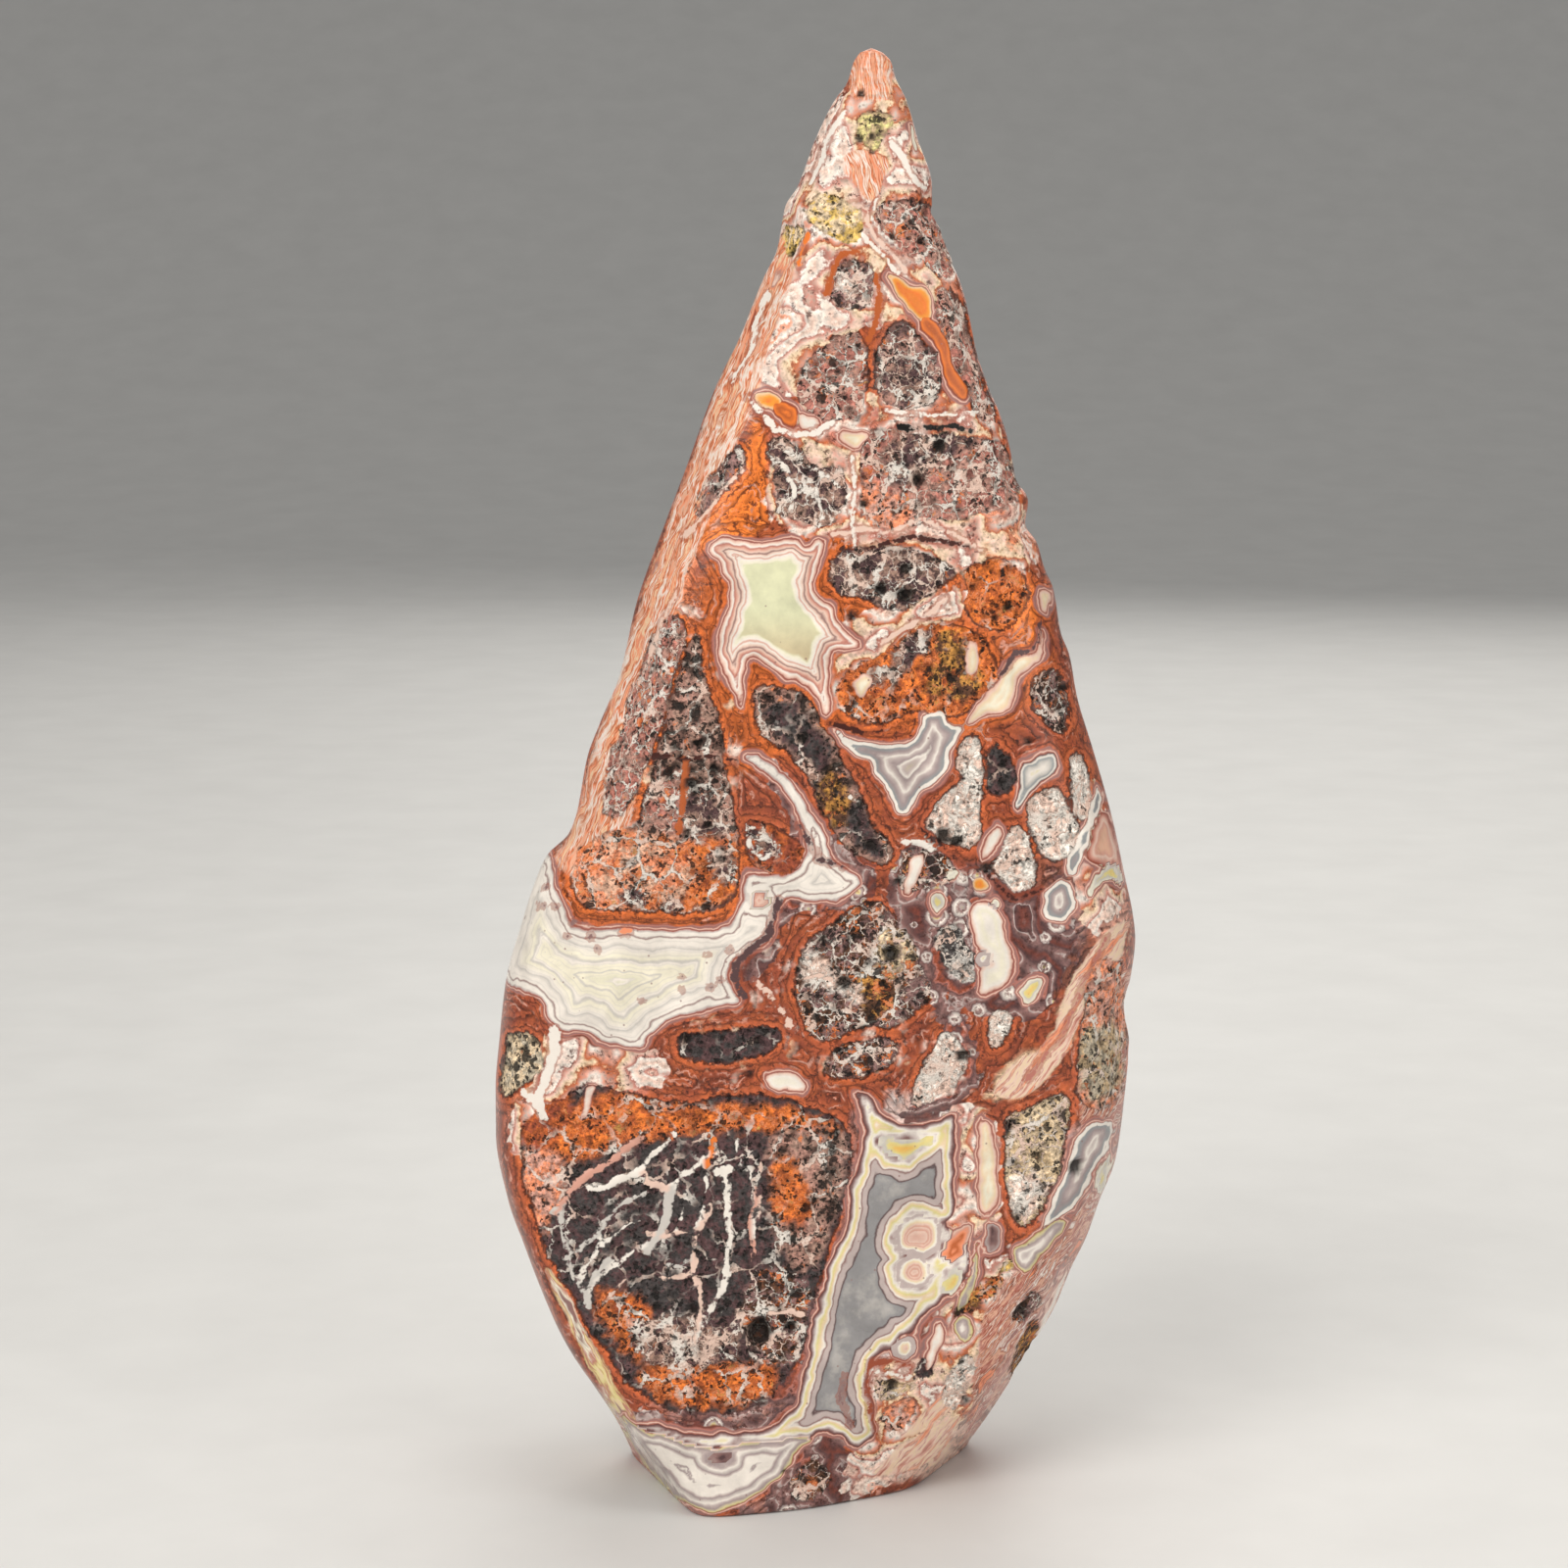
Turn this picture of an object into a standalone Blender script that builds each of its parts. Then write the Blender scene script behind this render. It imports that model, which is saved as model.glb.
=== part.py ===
"""Agate flame tower: one polished breccia-agate stone, ground to a leaning flame with a flat foot.

Metres in the scene, millimetres in the tables below. +Z is up, -Y is the front face, and the origin is
on the ground under the middle of the stone.
"""

import math

import bmesh
import bpy
import numpy as np
from mathutils import Vector, noise

NODE_NAME = "agate_flame_tower"
MM = 0.001

# Driving sizes, in millimetres.
HEIGHT = 200.0
RING_STEP = 3.9
TIP_RINGS = [194.0, 196.4, 198.2, 199.4]
FRONT_SEGMENTS = 34
BACK_SEGMENTS = 22
RIDGE_ROUNDING = 0.02
FOOT_BEVEL = 0.8
FRONT_CROWN = 2.2
BACK_CROWN = 3.0
FULL_CROWN_WIDTH = 48.0
SECTION_SAMPLES = 90

# The outline seen from the front: (height, x) down each side.
LEFT_OUTLINE = [
    (0, -26.2), (6, -28.5), (14, -32.5), (22, -36.3), (30, -39.5), (35, -41.3), (41, -43.4), (50, -45),
    (56, -45), (64, -44.3), (72, -43.3), (80, -41), (85.5, -39.2), (89.5, -37.4), (92.5, -34.4),
    (95.5, -33.2), (103.5, -31.6), (108, -29.9), (115, -27), (125, -24.6), (136.5, -20.4), (143.5, -17.7),
    (154.5, -13.6), (161, -10.4), (169.5, -6.9), (173, -5.2), (179, -4), (181.5, -2.4), (188, 0.1),
    (193, 2.6), (195.5, 4.4), (198.3, 5.3), (199.5, 6.2),
]
RIGHT_OUTLINE = [
    (0, 22.5), (5, 25.6), (10.5, 28.6), (17, 31.9), (23.5, 35.1), (29.5, 37.2), (34, 39.1), (40, 40.9),
    (46, 42.9), (54, 43.8), (63.5, 44.4), (68.5, 43.7), (73, 44.5), (78, 45), (81.5, 44.6), (86, 43.6),
    (95.5, 41.4), (105, 38.6), (112, 36.4), (118, 35.2), (121, 34), (127, 32.9), (130, 31.6), (133.5, 30.5),
    (136, 28.9), (139, 29.3), (142, 27.9), (149, 26), (158.5, 22.4), (166.5, 20.5), (176, 17.1),
    (179, 15.9), (181.5, 15.9), (188, 13.9), (193, 12.4), (196, 10.9), (198.3, 10.2), (199.5, 9),
]
APEX = (7.6, 0.0, HEIGHT)

# The ridges that bound the ground faces, going round the stone from its left edge across the front.
# Each key is (height, share of the width from the left, y).
RIDGES = {
    "left_edge": [
        (0, 0.0, 8), (25, 0.0, 1), (60, 0.0, 3), (90, 0.0, 0), (140, 0.0, 1), (170, 0.0, 2), (200, 0.0, 0),
    ],
    "front_left": [
        (0, 0.22, -21), (25, 0.05, -18), (60, 0.03, -11), (90, 0.07, -13), (110, 0.11, -15.5),
        (140, 0.12, -12), (170, 0.17, -8), (200, 0.2, -1),
    ],
    "front_right": [
        (0, 0.8, -9), (25, 0.89, -14), (60, 0.93, -15), (90, 0.93, -14), (110, 0.92, -12),
        (140, 0.92, -9), (170, 0.88, -6), (200, 0.8, -1),
    ],
    "right_edge": [
        (0, 1.0, 12), (25, 1.0, 6), (60, 1.0, 0), (90, 1.0, -1), (140, 1.0, -2), (170, 1.0, -1),
        (200, 1.0, 0),
    ],
    "back_right": [
        (0, 0.74, 21), (25, 0.8, 22), (60, 0.85, 21), (90, 0.83, 19), (110, 0.8, 16),
        (140, 0.77, 12), (170, 0.75, 8), (200, 0.7, 1),
    ],
    "back_left": [
        (0, 0.24, 20), (25, 0.2, 21), (60, 0.14, 20), (90, 0.16, 19), (110, 0.2, 17),
        (140, 0.22, 13.5), (170, 0.25, 9), (200, 0.3, 1),
    ],
}

# Porous rock fragments in the front face, as (x, height) corners. They polish lower than the agate.
FRONT_FRAGMENTS = {
    "lower_left": [
        (-41, 58), (-31, 61), (-10, 59), (5, 55), (5, 45), (1, 34), (0, 24), (-4, 16), (-10, 12), (-19, 12),
        (-27, 17), (-33, 27), (-39, 38), (-41, 50),
    ],
    "upper_left": [
        (-18, 126), (-25, 112), (-32, 95), (-32, 88), (-28, 84), (-12, 84), (-9, 91), (-10, 107),
        (-14, 123),
    ],
    "leaning": [(-8, 115), (1, 114), (4, 103), (11, 94), (10, 90), (4, 92), (-4, 103), (-8, 110)],
    "round": [(4, 83), (11, 85), (15, 79), (16, 72), (9, 66), (1, 66), (-3, 73), (-1, 80)],
    "upper": [
        (-6, 149), (9, 151), (24, 148), (27, 139), (27, 128), (17, 115), (6, 110), (2, 116), (2, 134),
        (-6, 139),
    ],
    "arch": [(10, 164), (15, 164), (20, 155), (17, 152), (8, 153), (8, 159)],
    "right_pale": [(20, 110), (24, 102), (34, 99), (35, 91), (28, 88), (17, 95), (15, 99)],
    "strip": [(-18, 67), (-4, 68), (-4, 64), (-18, 63)],
    "small_pink": [(17, 68), (22, 64), (19, 58), (13, 57), (14, 64)],
    "right_low": [(28, 58), (34, 59), (35, 52), (31, 43), (27, 38), (26, 50)],
    "top_yellow": [(1, 181), (6, 179), (6, 175), (2, 174), (-2, 177), (-2, 179)],
    "top_arch": [(5, 173), (8, 169), (8, 165), (2, 165), (2, 169)],
}
FRAGMENT_RECESS = 0.45
FRAGMENT_ROUGHNESS = 0.3
FRAGMENT_LEDGE = 1.2
ROUGH_GRAIN = 2.2

# On the back and sides the fragments are cells of this size, with seams of agate of this half width.
BACK_CELL = 18.0
BACK_SEAM = 2.2
FRONT_FACING = (0.1, 0.35)
FOOT_FADE = 4.0

# Open vugs and burst bubbles in the front face: (x, height, diameter).
FRONT_PITS = [
    (11, 79, 2.4), (-7, 26, 4.2), (2, 81, 1.8), (6, 193, 1.6), (-17, 66, 2.0), (14, 175, 1.8),
    (5, 171, 2.2), (-19, 102, 2.0), (-17, 107, 2.6), (6, 132, 2.4), (10, 128, 2.6), (-4, 142, 2.0),
    (23, 64, 1.8), (19, 94, 2.2), (-41, 65, 2.0), (-2, 42, 2.4), (3, 51, 2.2), (13, 162, 2.6),
    (27, 55, 1.8), (7, 19, 2.2), (-18, 29, 2.0), (14, 145, 2.4), (-3, 73, 1.8), (7, 69, 2.2),
    (-19, 92, 2.0), (-2, 107, 2.2), (5, 99, 2.2), (-10, 37, 2.0), (-12, 53, 1.8), (15, 119, 2.0),
]
BACK_PIT_SEED = 7
BACK_PIT_COUNT = 34
BACK_PIT_DIAMETERS = (2.0, 3.6)
PIT_DEPTH_SHARE = 0.42
PIT_REFINE_REACH = (1.5, 1.05)


def curve_through(keys, at):
    """A smooth curve through (height, value) keys that never overshoots between them."""
    x, y = np.array(keys, float).T
    at = np.clip(np.asarray(at, float), x[0], x[-1])
    step = np.diff(x)
    slope = np.diff(y) / step
    bends = slope[:-1] * slope[1:] > 0
    safe = np.where(bends, slope[:-1] * slope[1:], 1.0)
    inner = np.where(bends, 2 * safe / np.where(bends, slope[:-1] + slope[1:], 1.0), 0.0)
    tangent = np.concatenate([slope[:1], inner, slope[-1:]])
    i = np.clip(np.searchsorted(x, at) - 1, 0, len(step) - 1)
    t = (at - x[i]) / step[i]
    return (
        y[i] * (1 + 2 * t) * (1 - t) ** 2
        + y[i + 1] * t * t * (3 - 2 * t)
        + step[i] * (tangent[i] * t * (1 - t) ** 2 - tangent[i + 1] * t * t * (1 - t))
    )


def path_length(points):
    """How far along a path each of its points is."""
    return np.concatenate([[0], np.cumsum(np.linalg.norm(np.diff(points, axis=0), axis=1))])


def along(points, count):
    """Points evenly spaced along an open path, its last point left out."""
    reach = path_length(points)
    at = np.linspace(0, reach[-1], count, endpoint=False)
    return np.stack([np.interp(at, reach, points[:, k]) for k in (0, 1)], 1)


def section(height):
    """One horizontal section of the stone: front path from left edge to right edge, then round the back."""
    left, right = curve_through(LEFT_OUTLINE, height), curve_through(RIGHT_OUTLINE, height)
    corners = []
    for keys in RIDGES.values():
        share = curve_through([(z, u) for z, u, _ in keys], height)
        depth = curve_through([(z, y) for z, _, y in keys], height)
        corners.append((left + share * (right - left), depth))
    crown = min(1.0, (right - left) / FULL_CROWN_WIDTH)
    corners.insert(2, np.mean(corners[1:3], axis=0) - (0, FRONT_CROWN * crown))
    corners.insert(6, np.mean(corners[5:7], axis=0) + (0, BACK_CROWN * crown))
    sides = len(corners)
    loop = np.concatenate([
        np.linspace(start, end, SECTION_SAMPLES, endpoint=False)
        for start, end in zip(corners, corners[1:] + corners[:1])
    ])
    closed = np.concatenate([loop, loop[:1]])
    front_share = path_length(closed)[sides // 2 * SECTION_SAMPLES] / path_length(closed)[-1]
    loop = along(closed, len(loop))
    turns = np.fft.fftfreq(len(loop), 1 / len(loop))
    fading = np.exp(-2 * (math.pi * turns * RIDGE_ROUNDING) ** 2)
    loop = np.real(np.fft.ifft(np.fft.fft(loop, axis=0) * fading[:, None], axis=0))
    low, high = loop[:, 0].min(), loop[:, 0].max()
    loop[:, 0] = left + (loop[:, 0] - low) * (right - left) / (high - low)
    right_end = round(front_share * len(loop))
    front = along(loop[: right_end + 1], FRONT_SEGMENTS)
    back = along(np.concatenate([loop[right_end:], loop[:1]]), BACK_SEGMENTS)
    return np.concatenate([front, back])


def ring_heights():
    """Heights of the rings, closer together at the bevelled foot and the rounded tip."""
    steps = round((TIP_RINGS[0] - FOOT_BEVEL) / RING_STEP)
    return np.concatenate([[0.0], np.linspace(FOOT_BEVEL, TIP_RINGS[0], steps + 1), TIP_RINGS[1:]])


def smooth_stone():
    """The ground shape before its fragments and pits are worn in, as a closed bmesh in millimetres."""
    bm = bmesh.new()
    rings = []
    for height in ring_heights():
        outline = section(max(height, FOOT_BEVEL))
        if height == 0.0:
            middle = outline.mean(axis=0)
            reach = np.linalg.norm(outline - middle, axis=1, keepdims=True)
            outline = middle + (outline - middle) * (1 - FOOT_BEVEL / reach)
        rings.append([bm.verts.new((x, y, height)) for x, y in outline])
    count = len(rings[0])
    for low, high in zip(rings, rings[1:]):
        for i in range(count):
            j = (i + 1) % count
            bm.faces.new((low[i], low[j], high[j], high[i]))
    tip = bm.verts.new(APEX)
    foot = bm.verts.new((*np.mean([v.co[:2] for v in rings[0]], axis=0), 0.0))
    for i in range(count):
        j = (i + 1) % count
        bm.faces.new((rings[-1][i], rings[-1][j], tip))
        bm.faces.new((rings[0][j], rings[0][i], foot))
    bm.normal_update()
    return bm


def back_pits(bm):
    """Seeded pits over the back and sides, each as (surface point, diameter)."""
    random = np.random.default_rng(BACK_PIT_SEED)
    spots = [v for v in bm.verts if v.normal.y > -0.1 and 8 < v.co.z < 185]
    chosen = random.choice(len(spots), BACK_PIT_COUNT, replace=False)
    sizes = random.uniform(*BACK_PIT_DIAMETERS, BACK_PIT_COUNT)
    return [(spots[i].co.copy(), size) for i, size in zip(chosen, sizes)]


def front_pits(bm):
    """The hand-placed pits, each moved on to the front face."""
    front = [v for v in bm.verts if v.normal.y < -0.3]
    placed = []
    for x, height, diameter in FRONT_PITS:
        nearest = min(front, key=lambda v: (v.co.x - x) ** 2 + (v.co.z - height) ** 2)
        placed.append((Vector((x, nearest.co.y, height)), diameter))
    return placed


def refine(bm, pits):
    """Splits the faces round each pit so that it has enough of them to be a hollow."""
    for reach in PIT_REFINE_REACH:
        edges = set()
        for spot, diameter in pits:
            limit = diameter * reach
            for edge in bm.edges:
                middle = (edge.verts[0].co + edge.verts[1].co) / 2
                if (middle - spot).length < limit and edge.calc_length() > diameter * 0.35:
                    edges.add(edge)
        bmesh.ops.subdivide_edges(bm, edges=list(edges), cuts=1, use_grid_fill=True)
        bmesh.ops.triangulate(bm, faces=[f for f in bm.faces if len(f.verts) > 4])
    bmesh.ops.triangulate(bm, faces=bm.faces[:])
    bm.normal_update()


def clamp(value):
    return min(1.0, max(0.0, value))


def inside(x, z, outline):
    """Signed distance from (x, z) to an outline, below zero inside it."""
    near, hit = 1e9, False
    for (ax, az), (bx, bz) in zip(outline, outline[1:] + outline[:1]):
        dx, dz = bx - ax, bz - az
        t = clamp(((x - ax) * dx + (z - az) * dz) / (dx * dx + dz * dz))
        near = min(near, math.hypot(x - ax - t * dx, z - az - t * dz))
        if (az > z) != (bz > z) and x < ax + (z - az) * dx / dz:
            hit = not hit
    return -near if hit else near


def back_edge(point):
    """How far a point is outside the rock fragments of the back and sides, below zero inside one."""
    nearest, second = noise.voronoi(point / BACK_CELL)[0][:2]
    return BACK_SEAM - (second - nearest) * BACK_CELL / 2


def worn_depth(point, normal, pits):
    """How far the surface is worn in at a point, in millimetres."""
    front_edge = min(inside(point.x, point.z, outline) for outline in FRONT_FRAGMENTS.values())
    front = clamp((-normal.y - FRONT_FACING[0]) / (FRONT_FACING[1] - FRONT_FACING[0]))
    edge = front * front_edge + (1 - front) * back_edge(point)
    rough = noise.noise(point / ROUGH_GRAIN) + 0.5 * noise.noise(point * 2 / ROUGH_GRAIN)
    depth = clamp(0.5 - edge / FRAGMENT_LEDGE) * (FRAGMENT_RECESS + FRAGMENT_ROUGHNESS * rough)
    for spot, diameter in pits:
        far = (point - spot).length * 2 / diameter
        if far < 1:
            depth += PIT_DEPTH_SHARE * diameter * (1 - far * far) ** 1.5
    return depth


def wear(bm, pits):
    """Sinks the porous fragments and pits into the smooth shape, leaving the foot flat."""
    moves = []
    for v in bm.verts:
        fade = clamp((v.co.z - FOOT_BEVEL) / FOOT_FADE)
        if fade > 0 and v.co.z < HEIGHT - 1:
            moves.append((v, -v.normal * worn_depth(v.co, v.normal, pits) * fade))
    for v, move in moves:
        v.co += move


def centre(bm):
    """Brings the middle of the stone's width and depth over the origin."""
    co = np.array([v.co for v in bm.verts])
    middle = (co.min(axis=0) + co.max(axis=0)) / 2
    for v in bm.verts:
        v.co.x -= middle[0]
        v.co.y -= middle[1]


def stone_material():
    material = bpy.data.materials.new("polished_breccia_agate")
    material.use_nodes = True
    shader = material.node_tree.nodes["Principled BSDF"]
    shader.inputs["Base Color"].default_value = (0.42, 0.19, 0.12, 1)
    shader.inputs["Roughness"].default_value = 0.35
    shader.inputs["Metallic"].default_value = 0.0
    return material


def build():
    for old in list(bpy.data.objects):
        bpy.data.objects.remove(old)
    bm = smooth_stone()
    pits = front_pits(bm) + back_pits(bm)
    refine(bm, pits)
    wear(bm, pits)
    centre(bm)
    bmesh.ops.scale(bm, vec=(MM, MM, MM), verts=bm.verts[:])
    mesh = bpy.data.meshes.new(NODE_NAME)
    bm.to_mesh(mesh)
    bm.free()
    mesh.shade_smooth()
    mesh.materials.append(stone_material())
    stone = bpy.data.objects.new(NODE_NAME, mesh)
    bpy.context.scene.collection.objects.link(stone)


build()
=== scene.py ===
"""The looks of the agate flame tower: porous lava fragments healed by banded agate, polished all over.

The front face follows the photograph. Its fragments, agate pockets, veins and tinted areas are traced
as outlines in pixels of the 1600 x 1600 photograph and laid on the stone through the camera. The sides
and the back carry the same kind of breccia, grown from seeded cells. Every outline becomes a distance that
is kept on the vertices, and the material draws rims, bands, lace and bubbles from those distances.
"""

import math

import bpy
import numpy as np
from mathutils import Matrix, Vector, noise


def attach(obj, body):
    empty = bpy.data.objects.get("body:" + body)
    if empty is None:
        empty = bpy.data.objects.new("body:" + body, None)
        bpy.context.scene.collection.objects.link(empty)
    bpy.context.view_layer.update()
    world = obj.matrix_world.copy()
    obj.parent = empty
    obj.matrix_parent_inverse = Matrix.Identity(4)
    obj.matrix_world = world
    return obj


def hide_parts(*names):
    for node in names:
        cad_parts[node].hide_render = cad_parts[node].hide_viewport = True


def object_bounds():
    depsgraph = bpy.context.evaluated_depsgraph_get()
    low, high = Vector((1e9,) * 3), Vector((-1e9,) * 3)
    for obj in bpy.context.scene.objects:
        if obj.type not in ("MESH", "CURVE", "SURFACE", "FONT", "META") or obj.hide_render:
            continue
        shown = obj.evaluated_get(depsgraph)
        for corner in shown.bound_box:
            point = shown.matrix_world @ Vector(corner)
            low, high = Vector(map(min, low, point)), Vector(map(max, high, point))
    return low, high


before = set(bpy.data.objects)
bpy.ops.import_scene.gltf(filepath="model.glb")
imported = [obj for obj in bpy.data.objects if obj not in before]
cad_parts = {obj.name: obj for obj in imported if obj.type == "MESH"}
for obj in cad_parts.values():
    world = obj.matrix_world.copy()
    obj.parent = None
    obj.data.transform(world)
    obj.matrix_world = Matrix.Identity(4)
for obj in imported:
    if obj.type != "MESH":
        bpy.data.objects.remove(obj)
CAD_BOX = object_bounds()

NODE_NAME = "agate_flame_tower"
MM = 0.001

# The shape of the stone, in millimetres, as the solid has it.
HEIGHT = 200.0
FOOT_BEVEL = 0.8
FRONT_CROWN = 2.2
BACK_CROWN = 3.0
FULL_CROWN_WIDTH = 48.0
SECTION_SAMPLES = 90
RIDGE_ROUNDING = 0.02
APEX = (7.6, 0.0, HEIGHT)
LEFT_OUTLINE = [
    (0, -26.2), (6, -28.5), (14, -32.5), (22, -36.3), (30, -39.5), (35, -41.3), (41, -43.4), (50, -45),
    (56, -45), (64, -44.3), (72, -43.3), (80, -41), (85.5, -39.2), (89.5, -37.4), (92.5, -34.4),
    (95.5, -33.2), (103.5, -31.6), (108, -29.9), (115, -27), (125, -24.6), (136.5, -20.4), (143.5, -17.7),
    (154.5, -13.6), (161, -10.4), (169.5, -6.9), (173, -5.2), (179, -4), (181.5, -2.4), (188, 0.1),
    (193, 2.6), (195.5, 4.4), (198.3, 5.3), (199.5, 6.2),
]
RIGHT_OUTLINE = [
    (0, 22.5), (5, 25.6), (10.5, 28.6), (17, 31.9), (23.5, 35.1), (29.5, 37.2), (34, 39.1), (40, 40.9),
    (46, 42.9), (54, 43.8), (63.5, 44.4), (68.5, 43.7), (73, 44.5), (78, 45), (81.5, 44.6), (86, 43.6),
    (95.5, 41.4), (105, 38.6), (112, 36.4), (118, 35.2), (121, 34), (127, 32.9), (130, 31.6), (133.5, 30.5),
    (136, 28.9), (139, 29.3), (142, 27.9), (149, 26), (158.5, 22.4), (166.5, 20.5), (176, 17.1),
    (179, 15.9), (181.5, 15.9), (188, 13.9), (193, 12.4), (196, 10.9), (198.3, 10.2), (199.5, 9),
]
RIDGES = {
    "left_edge": [
        (0, 0.0, 8), (25, 0.0, 1), (60, 0.0, 3), (90, 0.0, 0), (140, 0.0, 1), (170, 0.0, 2), (200, 0.0, 0),
    ],
    "front_left": [
        (0, 0.22, -21), (25, 0.05, -18), (60, 0.03, -11), (90, 0.07, -13), (110, 0.11, -15.5),
        (140, 0.12, -12), (170, 0.17, -8), (200, 0.2, -1),
    ],
    "front_right": [
        (0, 0.8, -9), (25, 0.89, -14), (60, 0.93, -15), (90, 0.93, -14), (110, 0.92, -12),
        (140, 0.92, -9), (170, 0.88, -6), (200, 0.8, -1),
    ],
    "right_edge": [
        (0, 1.0, 12), (25, 1.0, 6), (60, 1.0, 0), (90, 1.0, -1), (140, 1.0, -2), (170, 1.0, -1),
        (200, 1.0, 0),
    ],
    "back_right": [
        (0, 0.74, 21), (25, 0.8, 22), (60, 0.85, 21), (90, 0.83, 19), (110, 0.8, 16),
        (140, 0.77, 12), (170, 0.75, 8), (200, 0.7, 1),
    ],
    "back_left": [
        (0, 0.24, 20), (25, 0.2, 21), (60, 0.14, 20), (90, 0.16, 19), (110, 0.2, 17),
        (140, 0.22, 13.5), (170, 0.25, 9), (200, 0.3, 1),
    ],
}

# The fine mesh: rings up the stone, and steps across its front and round its back.
RING_COUNT = 424
FRONT_STEPS = 160
BACK_STEPS = 72
TOP_RING = 199.4

# The camera, fitted to the photograph: millimetres, degrees and pixels.
AIM = np.array([-4.2, 0.0, 99.5])
CAMERA_DISTANCE = 500.0
CAMERA_RISE = math.radians(9)
PHOTO_SIZE = 1600
FOCAL_PIXELS = 3664.0
SENSOR = 36.0
PIXELS_PER_MM = FOCAL_PIXELS / CAMERA_DISTANCE
RECENTRED = np.array([0.0, -2.08, 0.0])

# Colours, as linear red, green and blue.
TONE = {
    "ivory": (0.90, 0.84, 0.68), "white": (0.90, 0.83, 0.76), "cream": (0.86, 0.66, 0.44),
    "greenish": (0.74, 0.74, 0.50), "olive": (0.58, 0.42, 0.25), "yellow": (0.84, 0.56, 0.16),
    "lemon": (0.78, 0.68, 0.30), "ochre": (0.56, 0.26, 0.06), "orange": (0.88, 0.22, 0.04),
    "amber": (0.92, 0.36, 0.05), "salmon": (0.90, 0.31, 0.16), "rust": (0.50, 0.115, 0.03),
    "brick": (0.34, 0.075, 0.035), "wine": (0.16, 0.038, 0.026), "maroon": (0.06, 0.014, 0.010),
    "pink": (0.70, 0.36, 0.28), "rose": (0.50, 0.19, 0.15), "blush": (0.84, 0.60, 0.50),
    "mauve": (0.28, 0.155, 0.145), "plum": (0.10, 0.05, 0.052), "lilac": (0.56, 0.46, 0.44),
    "lavender": (0.38, 0.30, 0.30), "grey": (0.31, 0.30, 0.305), "mist": (0.62, 0.58, 0.54),
    "blue_grey": (0.30, 0.32, 0.33), "slate": (0.060, 0.050, 0.050), "lava": (0.026, 0.017, 0.015),
    "black": (0.006, 0.004, 0.003), "beige": (0.54, 0.46, 0.35), "brown": (0.12, 0.05, 0.026),
    "moss": (0.30, 0.19, 0.08), "taupe": (0.38, 0.23, 0.18), "heather": (0.47, 0.25, 0.20),
    "core": (0.77, 0.73, 0.57), "peach": (0.80, 0.47, 0.33),
}

# Kinds of rock: two body tones, then how much lace, how many bubbles and how much orange stain.
ROCK = {
    "dark": ("plum", "slate", 0.3, 0.35, 0.1),
    "laced": ("plum", "taupe", 0.95, 0.35, 0.25),
    "bubbly": ("taupe", "heather", 0.5, 0.9, 0.4),
    "tawny": ("ochre", "brown", 0.25, 0.7, 0.6),
    "orange": ("orange", "rust", 0.3, 0.5, 0.75),
    "mauve": ("heather", "rose", 0.85, 0.45, 0.5),
    "dusky": ("mauve", "heather", 0.8, 0.5, 0.42),
    "pale": ("white", "blush", 0.7, 0.2, 0.05),
    "frost": ("mist", "slate", 0.9, 0.35, 0.05),
    "coral": ("salmon", "peach", 0.4, 0.4, 0.7),
    "sandy": ("olive", "beige", 0.4, 0.6, 0.5),
    "salt": ("mauve", "brown", 1.0, 0.6, 0.6),
    "ochre": ("yellow", "cream", 0.2, 0.4, 0.2),
    "lichen": ("lemon", "olive", 0.2, 0.5, 0.1),
    "tan": ("beige", "cream", 0.2, 0.95, 0.25),
    "moss": ("cream", "olive", 0.8, 0.5, 0.4),
    "red": ("brick", "rust", 0.2, 0.15, 0.3),
    "pinkish": ("pink", "salmon", 0.35, 0.35, 0.3),
}

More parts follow.
